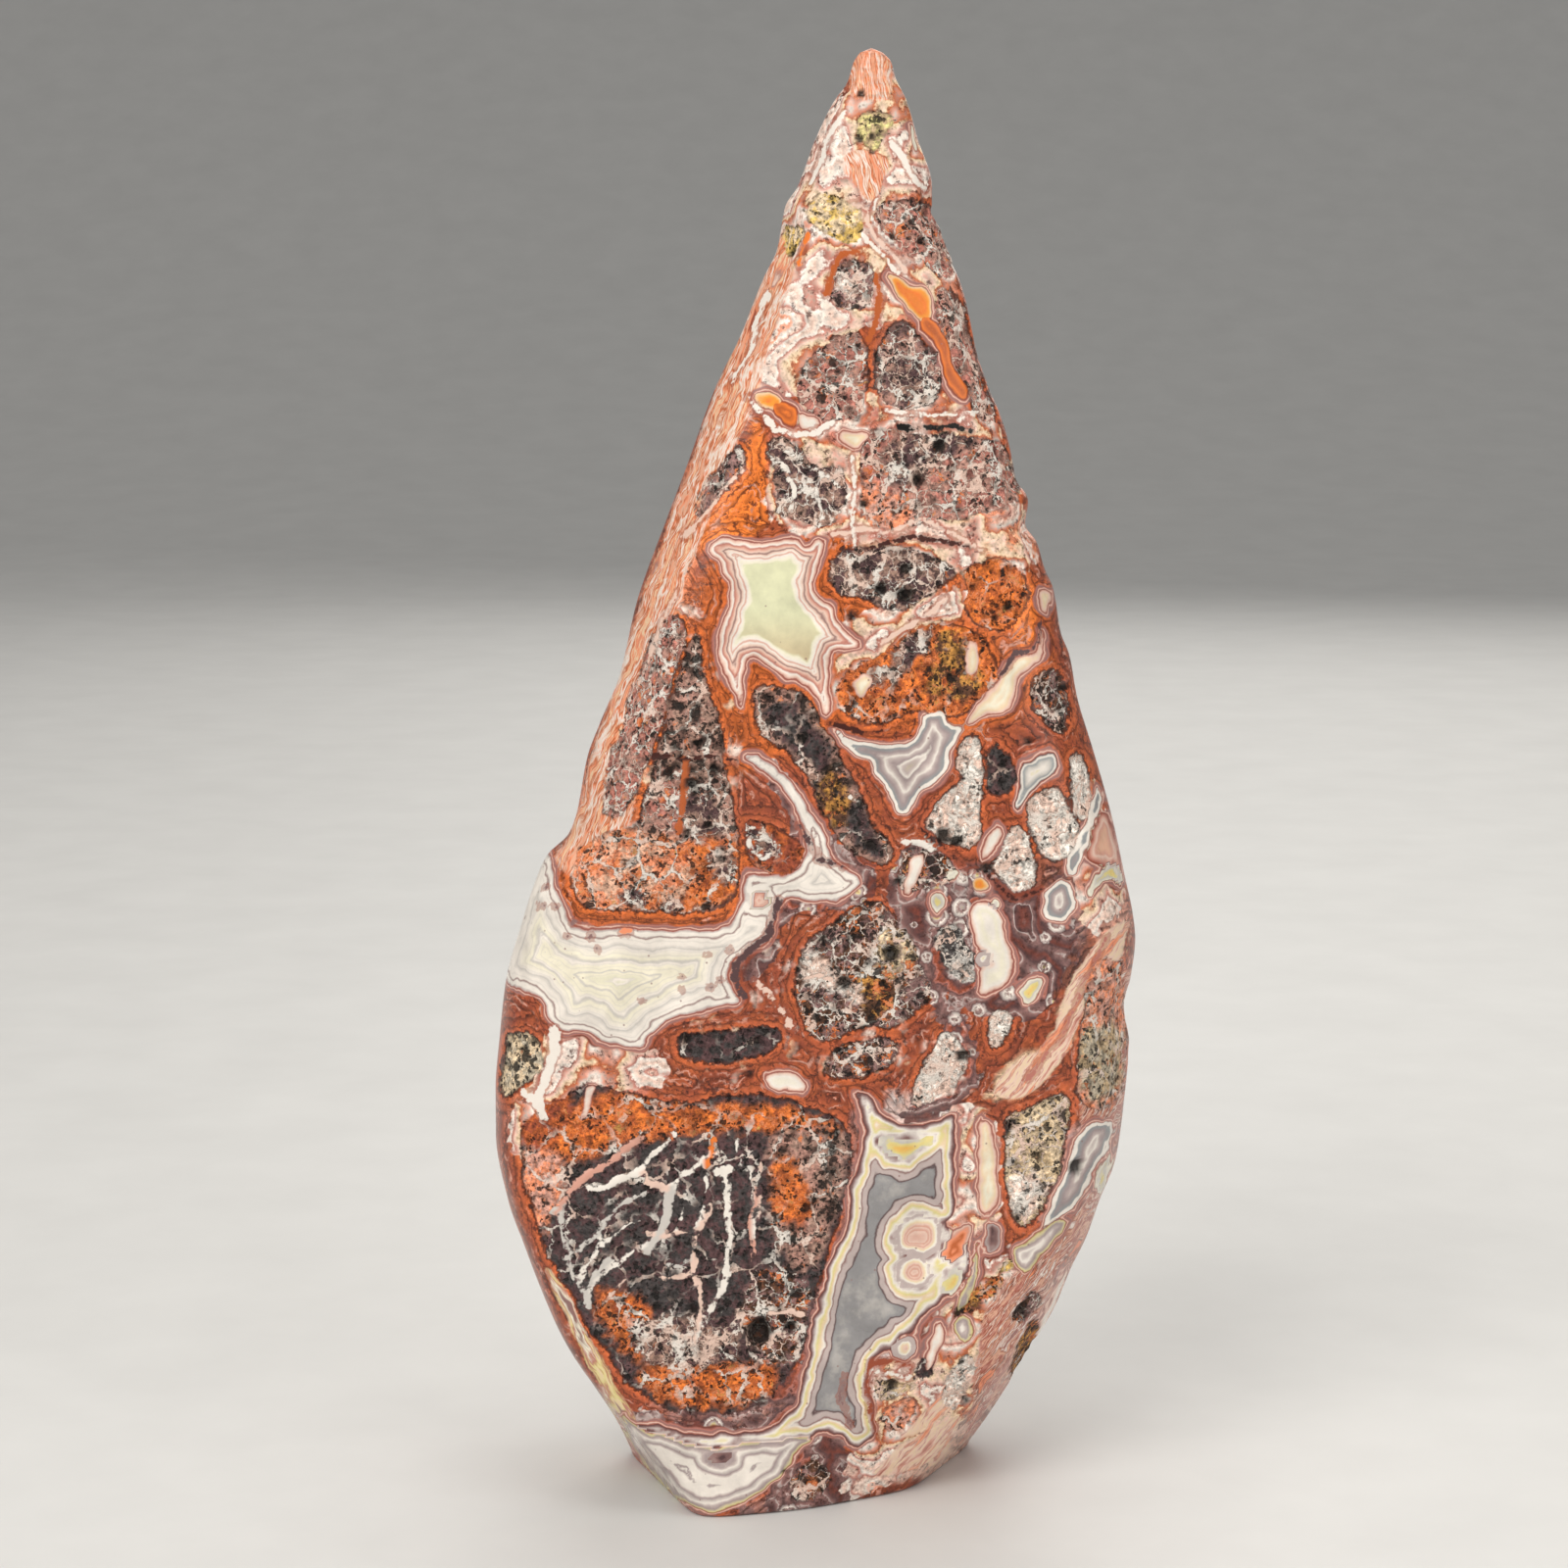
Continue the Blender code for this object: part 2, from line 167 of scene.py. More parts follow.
# Rock fragments of the front face: kind and outline.
FRAGMENTS = [
    ("frost", "953,952 964,946 976,946 986,960 996,982 999,1002 988,1008 972,994 957,974"),
    ("lichen", "876,122 888,114 905,112 915,118 913,130 900,140 898,150 893,158 884,150 880,141 876,135"),
    ("ochre", "818,214 826,204 842,194 860,200 873,208 877,222 881,232 876,246 858,248 840,236 826,228"),
    ("mauve", "893,215 905,205 925,203 950,212 962,240 975,270 978,285 960,285 940,262 925,258 912,250 "
     "898,238"),
    ("dusky", "847,280 855,270 870,262 883,266 893,278 893,295 890,315 850,315"),
    ("ochre", "798,232 815,228 825,240 815,255 800,262"),
    ("dusky", "893,370 896,355 902,342 910,332 920,327 930,330 938,338 942,350 952,358 958,370 962,385 "
     "960,400 950,412 935,418 915,416 902,412 896,400 891,388"),
    ("mauve", "812,388 830,362 850,345 872,336 882,350 884,380 886,404 880,425 850,432 828,420 812,404"),
    ("mauve", "955,290 982,300 992,345 1003,385 1014,412 1018,430 1000,432 992,405 975,372 966,345 "
     "955,318"),
    ("laced", "783,450 800,448 812,455 825,470 840,478 862,478 862,500 860,530 845,540 830,535 810,525 "
     "795,530 790,500 790,480 782,465"),
    ("mauve", "880,448 905,436 950,444 990,446 1022,450 1034,475 1042,500 1036,516 1000,524 960,532 "
     "915,540 880,538 876,490"),
    ("laced", "850,563 889,556 934,560 978,578 972,592 938,614 908,625 889,614 856,608 846,590"),
    ("orange", "985,578 1020,568 1046,582 1052,612 1032,642 1005,642 982,622 990,600"),
    ("orange", "905,664 925,646 955,636 985,640 1012,660 1022,690 1000,715 975,735 935,722 900,740 "
     "868,735 852,712 858,690 880,676"),
    ("bubbly", "708,645 715,650 714,685 722,705 732,730 738,755 740,800 748,820 752,863 757,877 752,906 "
     "743,921 723,930 679,931 630,930 600,928 589,917 578,895 590,860 620,850 655,840 658,815 662,790 "
     "668,772 680,735 680,718 690,700 700,665"),
    ("bubbly", "768,705 785,700 805,702 820,710 838,735 852,765 868,790 878,810 890,840 912,865 905,885 "
     "870,872 855,855 840,830 830,800 815,775 800,765 785,762 776,750 772,735"),
    ("red", "763,837 770,839 796,844 820,865 821,877 808,891 789,895 770,884 760,860"),
    ("pale", "985,750 1000,758 1004,778 1004,800 1000,830 1001,848 996,868 975,862 958,854 944,842 "
     "952,825 968,808 980,800 984,790 978,780 980,768"),
    ("dark", "1012,762 1022,762 1037,780 1038,800 1025,812 1013,812 1007,795 1006,775"),
    ("pale", "1058,812 1075,803 1086,812 1094,830 1106,846 1098,872 1075,882 1062,872 1056,852 1050,838 "
     "1052,822"),
    ("pale", "1036,838 1049,850 1055,865 1058,890 1053,906 1040,911 1025,900 1012,886 1020,868 1027,855"),
    ("pale", "1096,768 1108,774 1113,800 1114,830 1106,838 1098,830 1094,812 1093,790"),
    ("salt", "1056,690 1078,682 1088,700 1092,730 1090,748 1072,742 1052,722"),
    ("salt", "922,865 950,862 978,885 975,897 945,905 925,915 918,890"),
    ("salt", "864,932 892,919 913,937 930,953 938,978 943,993 952,1012 936,1030 913,1050 887,1046 "
     "864,1053 844,1064 831,1060 818,1039 811,1009 816,978 831,958 846,945"),
    ("salt", "838,1088 848,1075 877,1063 908,1060 922,1068 910,1082 890,1096 844,1101"),
    ("dark", "690,1053 712,1056 788,1046 799,1056 796,1065 774,1080 723,1085 693,1082"),
    ("pale", "946,1080 960,1053 972,1054 990,1075 988,1093 968,1116 948,1124 930,1130 934,1110 940,1092"),
    ("pale", "1009,1031 1036,1034 1031,1054 1013,1074 1009,1055"),
    ("tan", "514,1057 533,1051 547,1061 556,1080 552,1093 533,1108 515,1121 508,1113 511,1087"),
    ("dark", "535,1135 575,1118 600,1104 650,1120 690,1128 760,1114 830,1130 868,1146 866,1210 838,1288 "
     "828,1360 800,1418 765,1440 715,1446 660,1428 635,1405 592,1338 548,1258 528,1190"),
    ("moss", "1024,1142 1042,1132 1070,1124 1092,1110 1092,1156 1084,1182 1071,1220 1053,1250 1038,1252 "
     "1030,1236 1028,1195 1025,1164"),
    ("pinkish", "1112,985 1140,975 1151,1000 1148,1034 1151,1056 1148,1090 1143,1120 1120,1138 1100,1122 "
     "1102,1090 1108,1040"),
    ("moss", "893,1402 902,1410 930,1411 936,1420 916,1425 899,1432 894,1420"),
    ("dark", "939,1389 947,1380 954,1385 952,1402 942,1409 932,1405"),
    ("pinkish", "899,1441 930,1424 939,1431 931,1447 916,1460 901,1462"),
    ("tawny", "972,1346 978,1330 994,1316 1014,1304 1030,1300 1022,1318 1004,1331 986,1345"),
    ("ochre", "1021,1290 1032,1283 1038,1294 1029,1302 1020,1299"),
    ("salt", "1034,1346 1040,1332 1054,1317 1063,1320 1058,1340 1045,1350"),
    ("tawny", "1046,1362 1056,1345 1062,1352 1055,1385 1040,1400 1030,1410 1036,1385"),
    ("pale", "975,1395 992,1380 998,1400 992,1420 975,1440 962,1438 966,1415"),
    ("salt", "806,1512 818,1496 832,1488 846,1503 846,1520 820,1534 806,1530"),
    ("dusky", "716,500 736,470 756,452 762,468 750,490 728,512 708,530"),
    ("mauve", "668,640 690,625 700,640 688,690 672,740 655,790 640,830 615,838 612,800 632,740 650,690"),
]

# Patches that change the rock inside a fragment: kind, softness of the edge and outline.
ROCK_PATCHES = [
    ("laced", 5, "850,560 889,556 938,560 978,576 972,590 940,600 938,618 908,626 889,612 858,606"),
    ("laced", 5, "915,655 938,640 955,640 950,660 930,680 900,700 885,706 892,688 912,675"),
    ("tawny", 8, "960,640 985,645 1010,700 985,720 945,712 950,680"),
    ("bubbly", 6, "682,735 700,665 712,690 726,730 735,775 736,812 700,815 664,800 672,760"),
    ("mauve", 8, "650,780 690,790 700,820 690,850 655,840"),
    ("laced", 6, "690,815 735,812 745,850 725,855 700,845"),
    ("orange", 10, "580,895 600,860 640,850 700,862 752,850 757,900 740,925 640,932 595,925"),
    ("coral", 14, "560,900 590,855 640,845 700,860 712,895 690,928 600,928"),
    ("laced", 5, "718,865 745,862 752,885 740,905 722,890"),
    ("laced", 5, "628,912 655,905 660,925 640,930"),
    ("laced", 5, "670,915 696,918 692,930 672,930"),
    ("dark", 6, "775,720 800,712 830,735 850,770 842,790 820,772 790,755"),
    ("dark", 6, "860,815 880,820 900,855 905,880 880,872 862,850"),
    ("tawny", 6, "838,790 858,785 866,810 862,850 845,845 836,815"),
    ("tawny", 8, "880,990 905,985 925,1000 905,1035 885,1042 872,1015"),
    ("moss", 6, "895,950 925,950 938,985 905,1000 890,975"),
    ("pale", 6, "820,970 850,985 880,1010 878,1030 850,1010 815,1005"),
    ("orange", 10, "560,1135 620,1112 700,1128 790,1128 860,1150 850,1165 760,1150 690,1160 640,1165 "
     "600,1185 560,1180"),
    ("bubbly", 8, "785,1150 866,1150 862,1215 836,1290 815,1300 790,1270 785,1200"),
    ("orange", 8, "788,1180 810,1185 830,1215 825,1250 800,1250 785,1215"),
    ("salt", 6, "762,1300 800,1295 830,1310 826,1365 800,1400 770,1390 755,1350"),
    ("orange", 9, "645,1395 700,1385 760,1392 800,1395 785,1430 720,1442 660,1425"),
    ("orange", 9, "600,1320 640,1310 670,1350 660,1395 625,1375"),
    ("laced", 8, "640,1350 700,1340 760,1350 750,1390 690,1400 645,1385"),
    ("pale", 5, "1030,1205 1050,1195 1068,1210 1058,1240 1040,1250 1030,1232"),
    ("red", 5, "528,1130 560,1110 584,1106 582,1140 566,1168 546,1178 526,1162"),
    ("pinkish", 8, "520,1175 560,1172 580,1195 566,1235 548,1262 528,1225"),
    ("sandy", 8, "1104,1050 1150,1040 1150,1110 1118,1132 1100,1100"),
    ("laced", 3, "762,842 785,850 796,871 780,877 764,861"),
    ("dark", 3, "1022,1145 1040,1140 1034,1160 1024,1162"),
    ("laced", 6, "905,442 990,440 1000,455 960,470 930,500 905,490"),
    ("pinkish", 8, "876,480 900,500 930,520 925,540 880,540"),
    ("pale", 6, "852,285 872,280 880,296 862,305"),
    ("laced", 5, "900,372 950,370 958,400 935,414 905,408"),
]

# Tinted areas of the agate between the fragments: tone, softness of the edge and outline.
TINTS = [
    ("salmon", 8, "860,50 905,48 920,90 905,110 868,108"),
    ("orange", 5, "880,58 892,60 890,88 880,84"),
    ("blush", 12, "855,105 930,100 955,190 900,205 810,210 835,140"),
    ("salmon", 5, "863,160 880,154 895,158 910,165 905,175 898,190 893,205 882,203 870,185 860,180"),
    ("pink", 14, "800,235 960,235 985,320 770,340 785,280"),
    ("orange", 5, "875,252 858,258 846,275 842,300 850,300 856,276 872,264"),
    ("blush", 10, "772,300 830,300 850,350 820,390 745,420 755,350"),
    ("rose", 14, "820,420 1010,420 1045,520 870,560 790,545 780,440"),
    ("orange", 9, "770,415 784,470 786,545 730,560 700,565 690,540 735,500 758,470"),
    ("salmon", 10, "940,535 1050,515 1060,570 1040,585 960,556"),
    ("rust", 16, "700,560 850,540 1060,560 1080,700 1000,760 760,760 600,960 600,840"),
    ("orange", 6, "1040,600 1062,600 1062,640 1050,655 1036,660 1030,630"),
    ("rust", 14, "560,880 770,840 770,940 690,950 580,945"),
    ("brick", 14, "770,760 1000,740 1010,880 820,960 770,900"),
    ("plum", 12, "930,880 1010,880 1110,870 1120,960 1090,1020 1030,1030 960,1000 930,940"),
    ("mauve", 10, "1040,905 1115,910 1110,960 1060,990 1040,960"),
    ("brick", 14, "780,920 960,900 1010,1040 940,1150 780,1090 660,1110 690,1040"),
    ("rose", 9, "555,1050 660,1060 690,1110 600,1130 520,1180 512,1130 560,1100"),
    ("salmon", 8, "518,1120 560,1105 575,1140 560,1180 524,1190"),
    ("mauve", 10, "640,1400 760,1430 830,1400 850,1330 870,1130 885,1130 870,1330 820,1450 700,1470"),
    ("blush", 8, "985,1130 1010,1130 1018,1250 1000,1260 975,1240 970,1160"),
    ("cream", 6, "1155,932 1147,973 1124,993 1106,1032 1086,1078 1050,1118 1022,1124 1010,1113 1035,1075 "
     "1068,1072 1086,1024 1112,978 1132,948"),
    ("pink", 8, "1128,890 1155,920 1150,965 1120,970 1110,930"),
    ("lavender", 8, "1100,1140 1140,1120 1140,1190 1080,1260 1060,1265 1075,1200"),
    ("lilac", 8, "880,1110 990,1120 1000,1280 950,1340 900,1400 880,1480 860,1470 930,1300"),
    ("brick", 8, "1045,1300 1085,1260 1102,1272 1085,1320 1066,1332 1030,1335"),
    ("rose", 8, "1000,1335 1040,1310 1030,1380 1010,1430 998,1420"),
    ("blush", 8, "940,1460 985,1430 990,1470 960,1505 900,1515 880,1490 915,1465"),
    ("salmon", 12, "700,480 670,580 640,680 600,780 575,860 610,880 650,780 690,640 720,540"),
    ("mauve", 8, "740,1548 800,1520 812,1540 860,1536 800,1560"),
]

# Agate pockets of the front face: kind and outline. A later one lies inside or in front of an earlier one.
POCKETS = [
    ("ivory", "540,880 556,868 563,880 565,906 576,930 590,948 618,948 640,946 662,950 700,951 740,948 "
     "752,932 758,905 764,888 790,895 815,890 826,868 815,830 800,806 785,792 762,776 758,766 778,772 "
     "800,790 820,815 842,850 850,880 880,898 866,915 845,922 815,918 800,915 792,936 785,958 770,968 "
     "748,982 741,997 746,1012 758,1024 735,1024 701,1033 676,1044 660,1058 655,1070 612,1066 604,1054 "
     "590,1050 572,1054 560,1040 556,1022 535,1012 512,1000 508,980 525,925"),
    ("star", "722,560 735,550 748,548 770,556 800,552 812,548 825,560 842,550 838,570 832,585 828,600 "
     "838,612 848,616 852,632 862,645 880,658 868,664 850,662 845,672 848,690 845,705 850,722 842,730 "
     "836,718 832,708 820,698 800,690 785,680 772,670 762,672 758,690 758,715 757,727 750,705 740,690 "
     "732,670 732,650 738,630 744,610 742,590 735,575"),
    ("lilac", "850,742 865,752 880,754 901,761 929,757 940,742 943,726 962,726 969,742 984,740 974,757 "
     "969,780 962,792 950,801 936,813 922,834 915,830 910,811 901,799 894,790 891,780 872,768 856,754"),
    ("cream", "981,742 995,726 1010,707 1020,690 1030,677 1040,669 1056,667 1061,653 1062,641 1068,655 "
     "1066,669 1050,681 1038,695 1036,714 1030,724 1012,731"),
    ("cream", "1060,606 1073,601 1076,615 1066,626"),
    ("cream", "988,655 999,656 1002,672 994,690 984,688"),
    ("cream", "868,694 880,686 892,690 890,702 880,716 870,708"),
    ("blue", "1042,780 1057,775 1068,768 1080,770 1078,785 1066,799 1054,806 1047,820 1038,827 1040,808"),
    ("quartz", "868,1112 890,1120 900,1140 925,1150 958,1146 975,1138 978,1150 972,1180 974,1210 "
     "978,1236 962,1252 985,1262 992,1285 980,1312 955,1330 940,1345 930,1362 905,1372 890,1390 884,1412 "
     "892,1440 893,1468 870,1476 853,1462 838,1460 815,1470 800,1478 775,1476 740,1480 706,1474 680,1466 "
     "645,1452 672,1454 708,1466 760,1464 795,1454 812,1436 822,1405 828,1370 834,1335 843,1297 860,1264 "
     "867,1238 865,1213 876,1195 883,1164 884,1141"),
    ("orb", "937,1239 952,1242 962,1254 962,1270 952,1283 937,1287 922,1284 913,1270 913,1254 923,1243"),
    ("orb", "933,1281 946,1286 952,1298 947,1311 933,1317 919,1311 914,1298 920,1286"),
    ("yellow", "893,1157 914,1163 940,1160 958,1160 938,1174 922,1187 904,1180"),
    ("salmon", "962,1285 964,1268 973,1257 986,1247 993,1253 985,1272 975,1291"),
    ("yellow", "962,1312 967,1300 974,1293 982,1298 982,1309 973,1321 964,1321"),
    ("lavender", "975,1340 992,1300 1000,1260 1000,1300 988,1330"),
    ("lavender", "630,1440 650,1456 694,1470 726,1478 758,1474 790,1470 815,1466 830,1468 812,1484 "
     "795,1506 772,1524 735,1545 697,1536 665,1504 640,1470"),
    ("peach", "776,907 784,911 787,919 783,927 775,930 767,926 764,918 768,910"),
    ("orb", "925,1362 934,1367 937,1376 932,1385 923,1389 914,1384 912,1374 916,1365"),
    ("plum", "722,1484 734,1481 746,1484 745,1491 734,1496 723,1492"),
    ("white", "997,920 1010,922 1027,935 1027,955 1036,976 1036,993 1020,1009 999,1017 1003,999 1001,963 "
     "992,945 988,930"),
    ("orb", "1003,968 1012,974 1013,984 1004,990 996,983 996,973"),
    ("yellow", "1038,1009 1050,998 1064,996 1062,1012 1050,1027 1042,1018"),
    ("yellow", "952,912 962,910 966,922 958,934 952,924"),
    ("yellow", "1015,918 1021,917 1022,927 1015,927"),
    ("yellow", "962,890 978,886 982,894 970,900"),
    ("orb", "1078,914 1086,918 1087,928 1078,933 1069,928 1070,918"),
    ("amber", "996,897 1006,898 1010,908 1000,912 993,905"),
    ("white", "600,1106 610,1108 604,1126 594,1146 588,1146 595,1126"),
    ("white", "776,1096 797,1090 821,1102 825,1112 812,1115 790,1110"),
    ("lilac", "1108,842 1118,802 1127,812 1114,850 1102,885 1092,896 1090,880 1100,862"),
    ("peach", "1122,828 1134,830 1148,888 1144,908 1125,884 1110,874 1112,850"),
    ("yellow", "1122,888 1134,880 1146,886 1150,902 1132,897 1122,902 1115,916 1110,908"),
    ("yellow", "1140,1172 1126,1222 1116,1210 1122,1190"),
    ("lilac", "1101,1156 1136,1139 1138,1164 1116,1196 1104,1223 1075,1250 1064,1258 1074,1225 1088,1195"),
    ("white", "960,1345 965,1358 956,1385 946,1404 944,1380 950,1362"),
    ("lavender", "1034,1276 1056,1262 1080,1242 1092,1248 1068,1274 1046,1300 1038,1292"),
    ("white", "1080,1308 1092,1288 1086,1320 1070,1350 1058,1378 1060,1350"),
    ("white", "1010,846 1021,841 1022,855 1010,874 1002,880 1004,860"),
    ("lilac", "1066,905 1090,896 1100,915 1096,935 1080,942 1066,935"),
    ("white", "932,870 945,875 938,900 928,918 924,895"),
    ("cream", "999,1139 1012,1146 1017,1182 1020,1213 1014,1238 1004,1241 997,1223 999,1182"),
    ("plum", "1009,1246 1020,1250 1020,1272 1011,1282 1006,1267"),
    ("lavender", "973,1350 988,1345 994,1358 986,1372 974,1366"),
    ("amber", "903,279 918,284 937,292 947,303 953,316 950,330 940,326 928,318 920,306 912,294"),
    ("ember", "944,322 954,326 966,342 970,356 972,374 986,390 992,402 984,412 973,402 964,382 958,362 "
     "948,344 938,330"),
    ("amber", "765,403 780,400 796,405 800,414 790,420 776,416"),
    ("ember", "786,414 800,410 813,414 816,430 808,438 794,430"),
    ("white", "815,423 838,426 838,434 828,441 816,437"),
    ("cream", "850,441 888,441 882,452 872,461 862,455"),
    ("yellow", "926,128 932,128 938,158 932,156"),
]

# Veins in and around the fragments: tone, width in pixels and route.
VEINS = [
    ("white", 7, "600,1213 620,1210 640,1200 655,1192"),
    ("white", 4, "655,1192 665,1180 680,1165 690,1158"),
    ("blush", 7, "655,1192 660,1205 675,1212 685,1215"),
    ("white", 5, "685,1215 695,1200 710,1190 720,1180 730,1178"),
    ("mist", 9, "685,1215 680,1235 675,1255 665,1270 660,1278"),
    ("blush", 4, "660,1260 680,1262 700,1258 712,1255 722,1240 728,1225"),
    ("mist", 4, "575,1285 590,1275 605,1262 620,1245 635,1230 657,1216"),
    ("mist", 5, "560,1235 572,1230 572,1250 575,1270 580,1290 590,1310 598,1330"),
    ("mist", 6, "620,1285 608,1300 598,1318 600,1335"),
    ("blush", 5, "708,1262 710,1285 708,1300 715,1320 712,1345 708,1370"),
    ("white", 5, "740,1200 742,1225 745,1260 742,1290 735,1320 720,1345 704,1378"),
    ("mist", 3, "680,1290 692,1292 705,1285"),
    ("blush", 3, "672,1305 690,1302 702,1300"),
    ("pink", 4, "770,1210 768,1230 762,1245 765,1262 768,1290"),
    ("white", 3, "748,1160 755,1180 760,1195"),
    ("white", 10, "732,1196 746,1194"),
    ("pink", 6, "568,1235 580,1215 600,1200 625,1183 655,1160"),
    ("orange", 5, "728,1160 725,1175 720,1190"),
    ("mist", 3, "803,1305 803,1335"),
    ("blush", 6, "785,1340 805,1338 820,1342"),
    ("white", 9, "563,1050 566,1075 556,1095 548,1115 552,1140"),
    ("white", 7, "533,1115 545,1122"),
    ("maroon", 4, "940,846 955,856 975,876 988,888 1003,888 1020,905 1040,918 1062,907"),
    ("maroon", 4, "665,772 700,776 735,772 752,776"),
    ("rust", 7, "700,776 698,800 694,830 690,850"),
    ("maroon", 4, "848,738 870,744 900,746"),
    ("maroon", 5, "880,560 930,548 990,556"),
    ("blush", 4, "868,206 882,212 886,230 898,246 912,262 926,276"),
    ("mauve", 2, "876,204 889,212 893,228 904,242 920,258 934,272"),
    ("white", 3, "880,236 892,252 906,268 918,280"),
    ("white", 3, "895,205 890,222 900,238 915,250"),
    ("white", 4, "826,186 838,160 845,138 862,116"),
    ("white", 5, "908,146 922,158 930,178 942,192"),
    ("rust", 6, "878,254 860,260 850,274 845,300"),
    ("rust", 6, "893,280 898,300 894,330 886,345"),
    ("orange", 4, "826,240 822,256 815,270"),
    ("white", 4, "784,300 772,330 765,360 748,390"),
    ("white", 3, "905,418 940,424 975,424 1000,420"),
    ("rose", 3, "1132,955 1105,1010 1082,1060 1048,1100"),
    ("blush", 3, "690,600 672,640 662,670 650,700"),
    ("white", 3, "590,1300 612,1272 632,1256 652,1244"),
    ("white", 3, "596,1322 618,1296 636,1282 658,1270"),
    ("white", 2, "612,1262 600,1285 592,1308"),
    ("white", 3, "720,1200 718,1230 710,1252"),
    ("white", 3, "765,1185 768,1205 766,1230 768,1262"),
    ("blush", 2, "776,1180 778,1215 772,1250"),
    ("white", 2, "700,1205 696,1235 688,1262"),
    ("blush", 3, "640,1300 625,1318 612,1335"),
    ("blush", 4, "757,480 738,500 715,530 698,548"),
    ("white", 5, "762,405 775,420 790,438 815,445 835,440 848,432"),
    ("white", 4, "870,465 871,500 869,530 870,560"),
    ("black", 5, "920,435 950,438 975,436 992,440"),
    ("white", 4, "868,815 876,818"),
    ("salmon", 5, "632,951 644,951"),
    ("plum", 4, "815,840 835,875 860,885"),
    ("brick", 5, "888,1390 912,1388 930,1395"),
    ("brick", 4, "888,1392 884,1425 895,1468"),
    ("white", 4, "893,1400 912,1402 930,1405"),
    ("mauve", 3, "862,1400 860,1430 868,1455"),
    ("white", 3, "762,842 785,850 796,871 780,877 764,861 762,842"),
    ("white", 7, "922,858 936,860 952,866"),
    ("blush", 4, "815,1000 835,996 860,1000"),
    ("plum", 4, "1062,635 1060,652 1050,664 1036,668 1022,688"),
    ("plum", 7, "795,918 790,935 782,955 768,968 752,985 748,1000 760,1020"),
    ("blush", 5, "770,1000 782,1012 796,1030 806,1048"),
    ("blush", 5, "900,655 925,640 950,625 965,612"),
    ("blush", 4, "850,546 880,540 905,542 940,530 975,545 1005,560"),
    ("white", 3, "786,470 800,480 812,500 808,520"),
    ("white", 3, "795,455 812,470 835,482 855,495"),
    ("white", 3, "838,482 832,505 842,525 838,538"),
]

# Mauve specks in the white pocket.
SPECK_WIDTH = 4.5
SPECKS = (
    "552,925 565,925 580,955 600,955 609,967 695,998 694,1010 725,1008 735,998 653,1023 720,975 745,970 "
    "585,940 556,905"
)

# Streaked zones, where a face cuts the bands at a low angle: palette (0 left face, 1 right face, 2 foot,
# 3 silk), direction in the photo, strength, softness of the edge and outline.
STREAKS = [
    (0, (0.36, -0.93), 1.0, 14, "800,225 770,300 730,395 700,478 661,590 632,670 610,745 586,845 556,880 "
     "600,905 640,850 655,790 675,700 695,600 735,500 765,425 790,340 815,260"),
    (1, (-0.6, 0.8), 1.0, 10, "1156,960 1152,1090 1140,1180 1100,1290 1050,1400 1000,1475 982,1478 "
     "998,1400 1000,1340 1035,1300 1075,1255 1110,1200 1100,1130 1108,1020"),
    (2, (0.5, 0.86), 1.0, 8, "549,1290 640,1476 700,1545 690,1512 650,1450 600,1362 566,1296"),
    (3, (-0.6, 0.8), 1.0, 6, "1155,932 1148,973 1126,993 1108,1032 1090,1078 1052,1118 1022,1124 "
     "1012,1113 1035,1080 1066,1072 1083,1024 1103,983 1128,950"),
    (0, (0.25, 0.97), 1.0, 5, "862,158 880,153 895,158 911,164 903,178 899,192 893,207 882,204 872,186 "
     "858,176"),
    (0, (0.1, 1.0), 0.75, 6, "868,60 885,50 905,58 915,85 905,105 870,104 862,84"),
    (3, (-0.65, 0.76), 0.9, 5, "998,1382 985,1384 966,1408 955,1430 938,1446 912,1470 935,1466 968,1446 "
     "990,1420 997,1400"),
    (3, (-0.65, 0.76), 0.9, 5, "985,1440 950,1456 905,1486 880,1508 930,1502 965,1492 975,1465"),
]
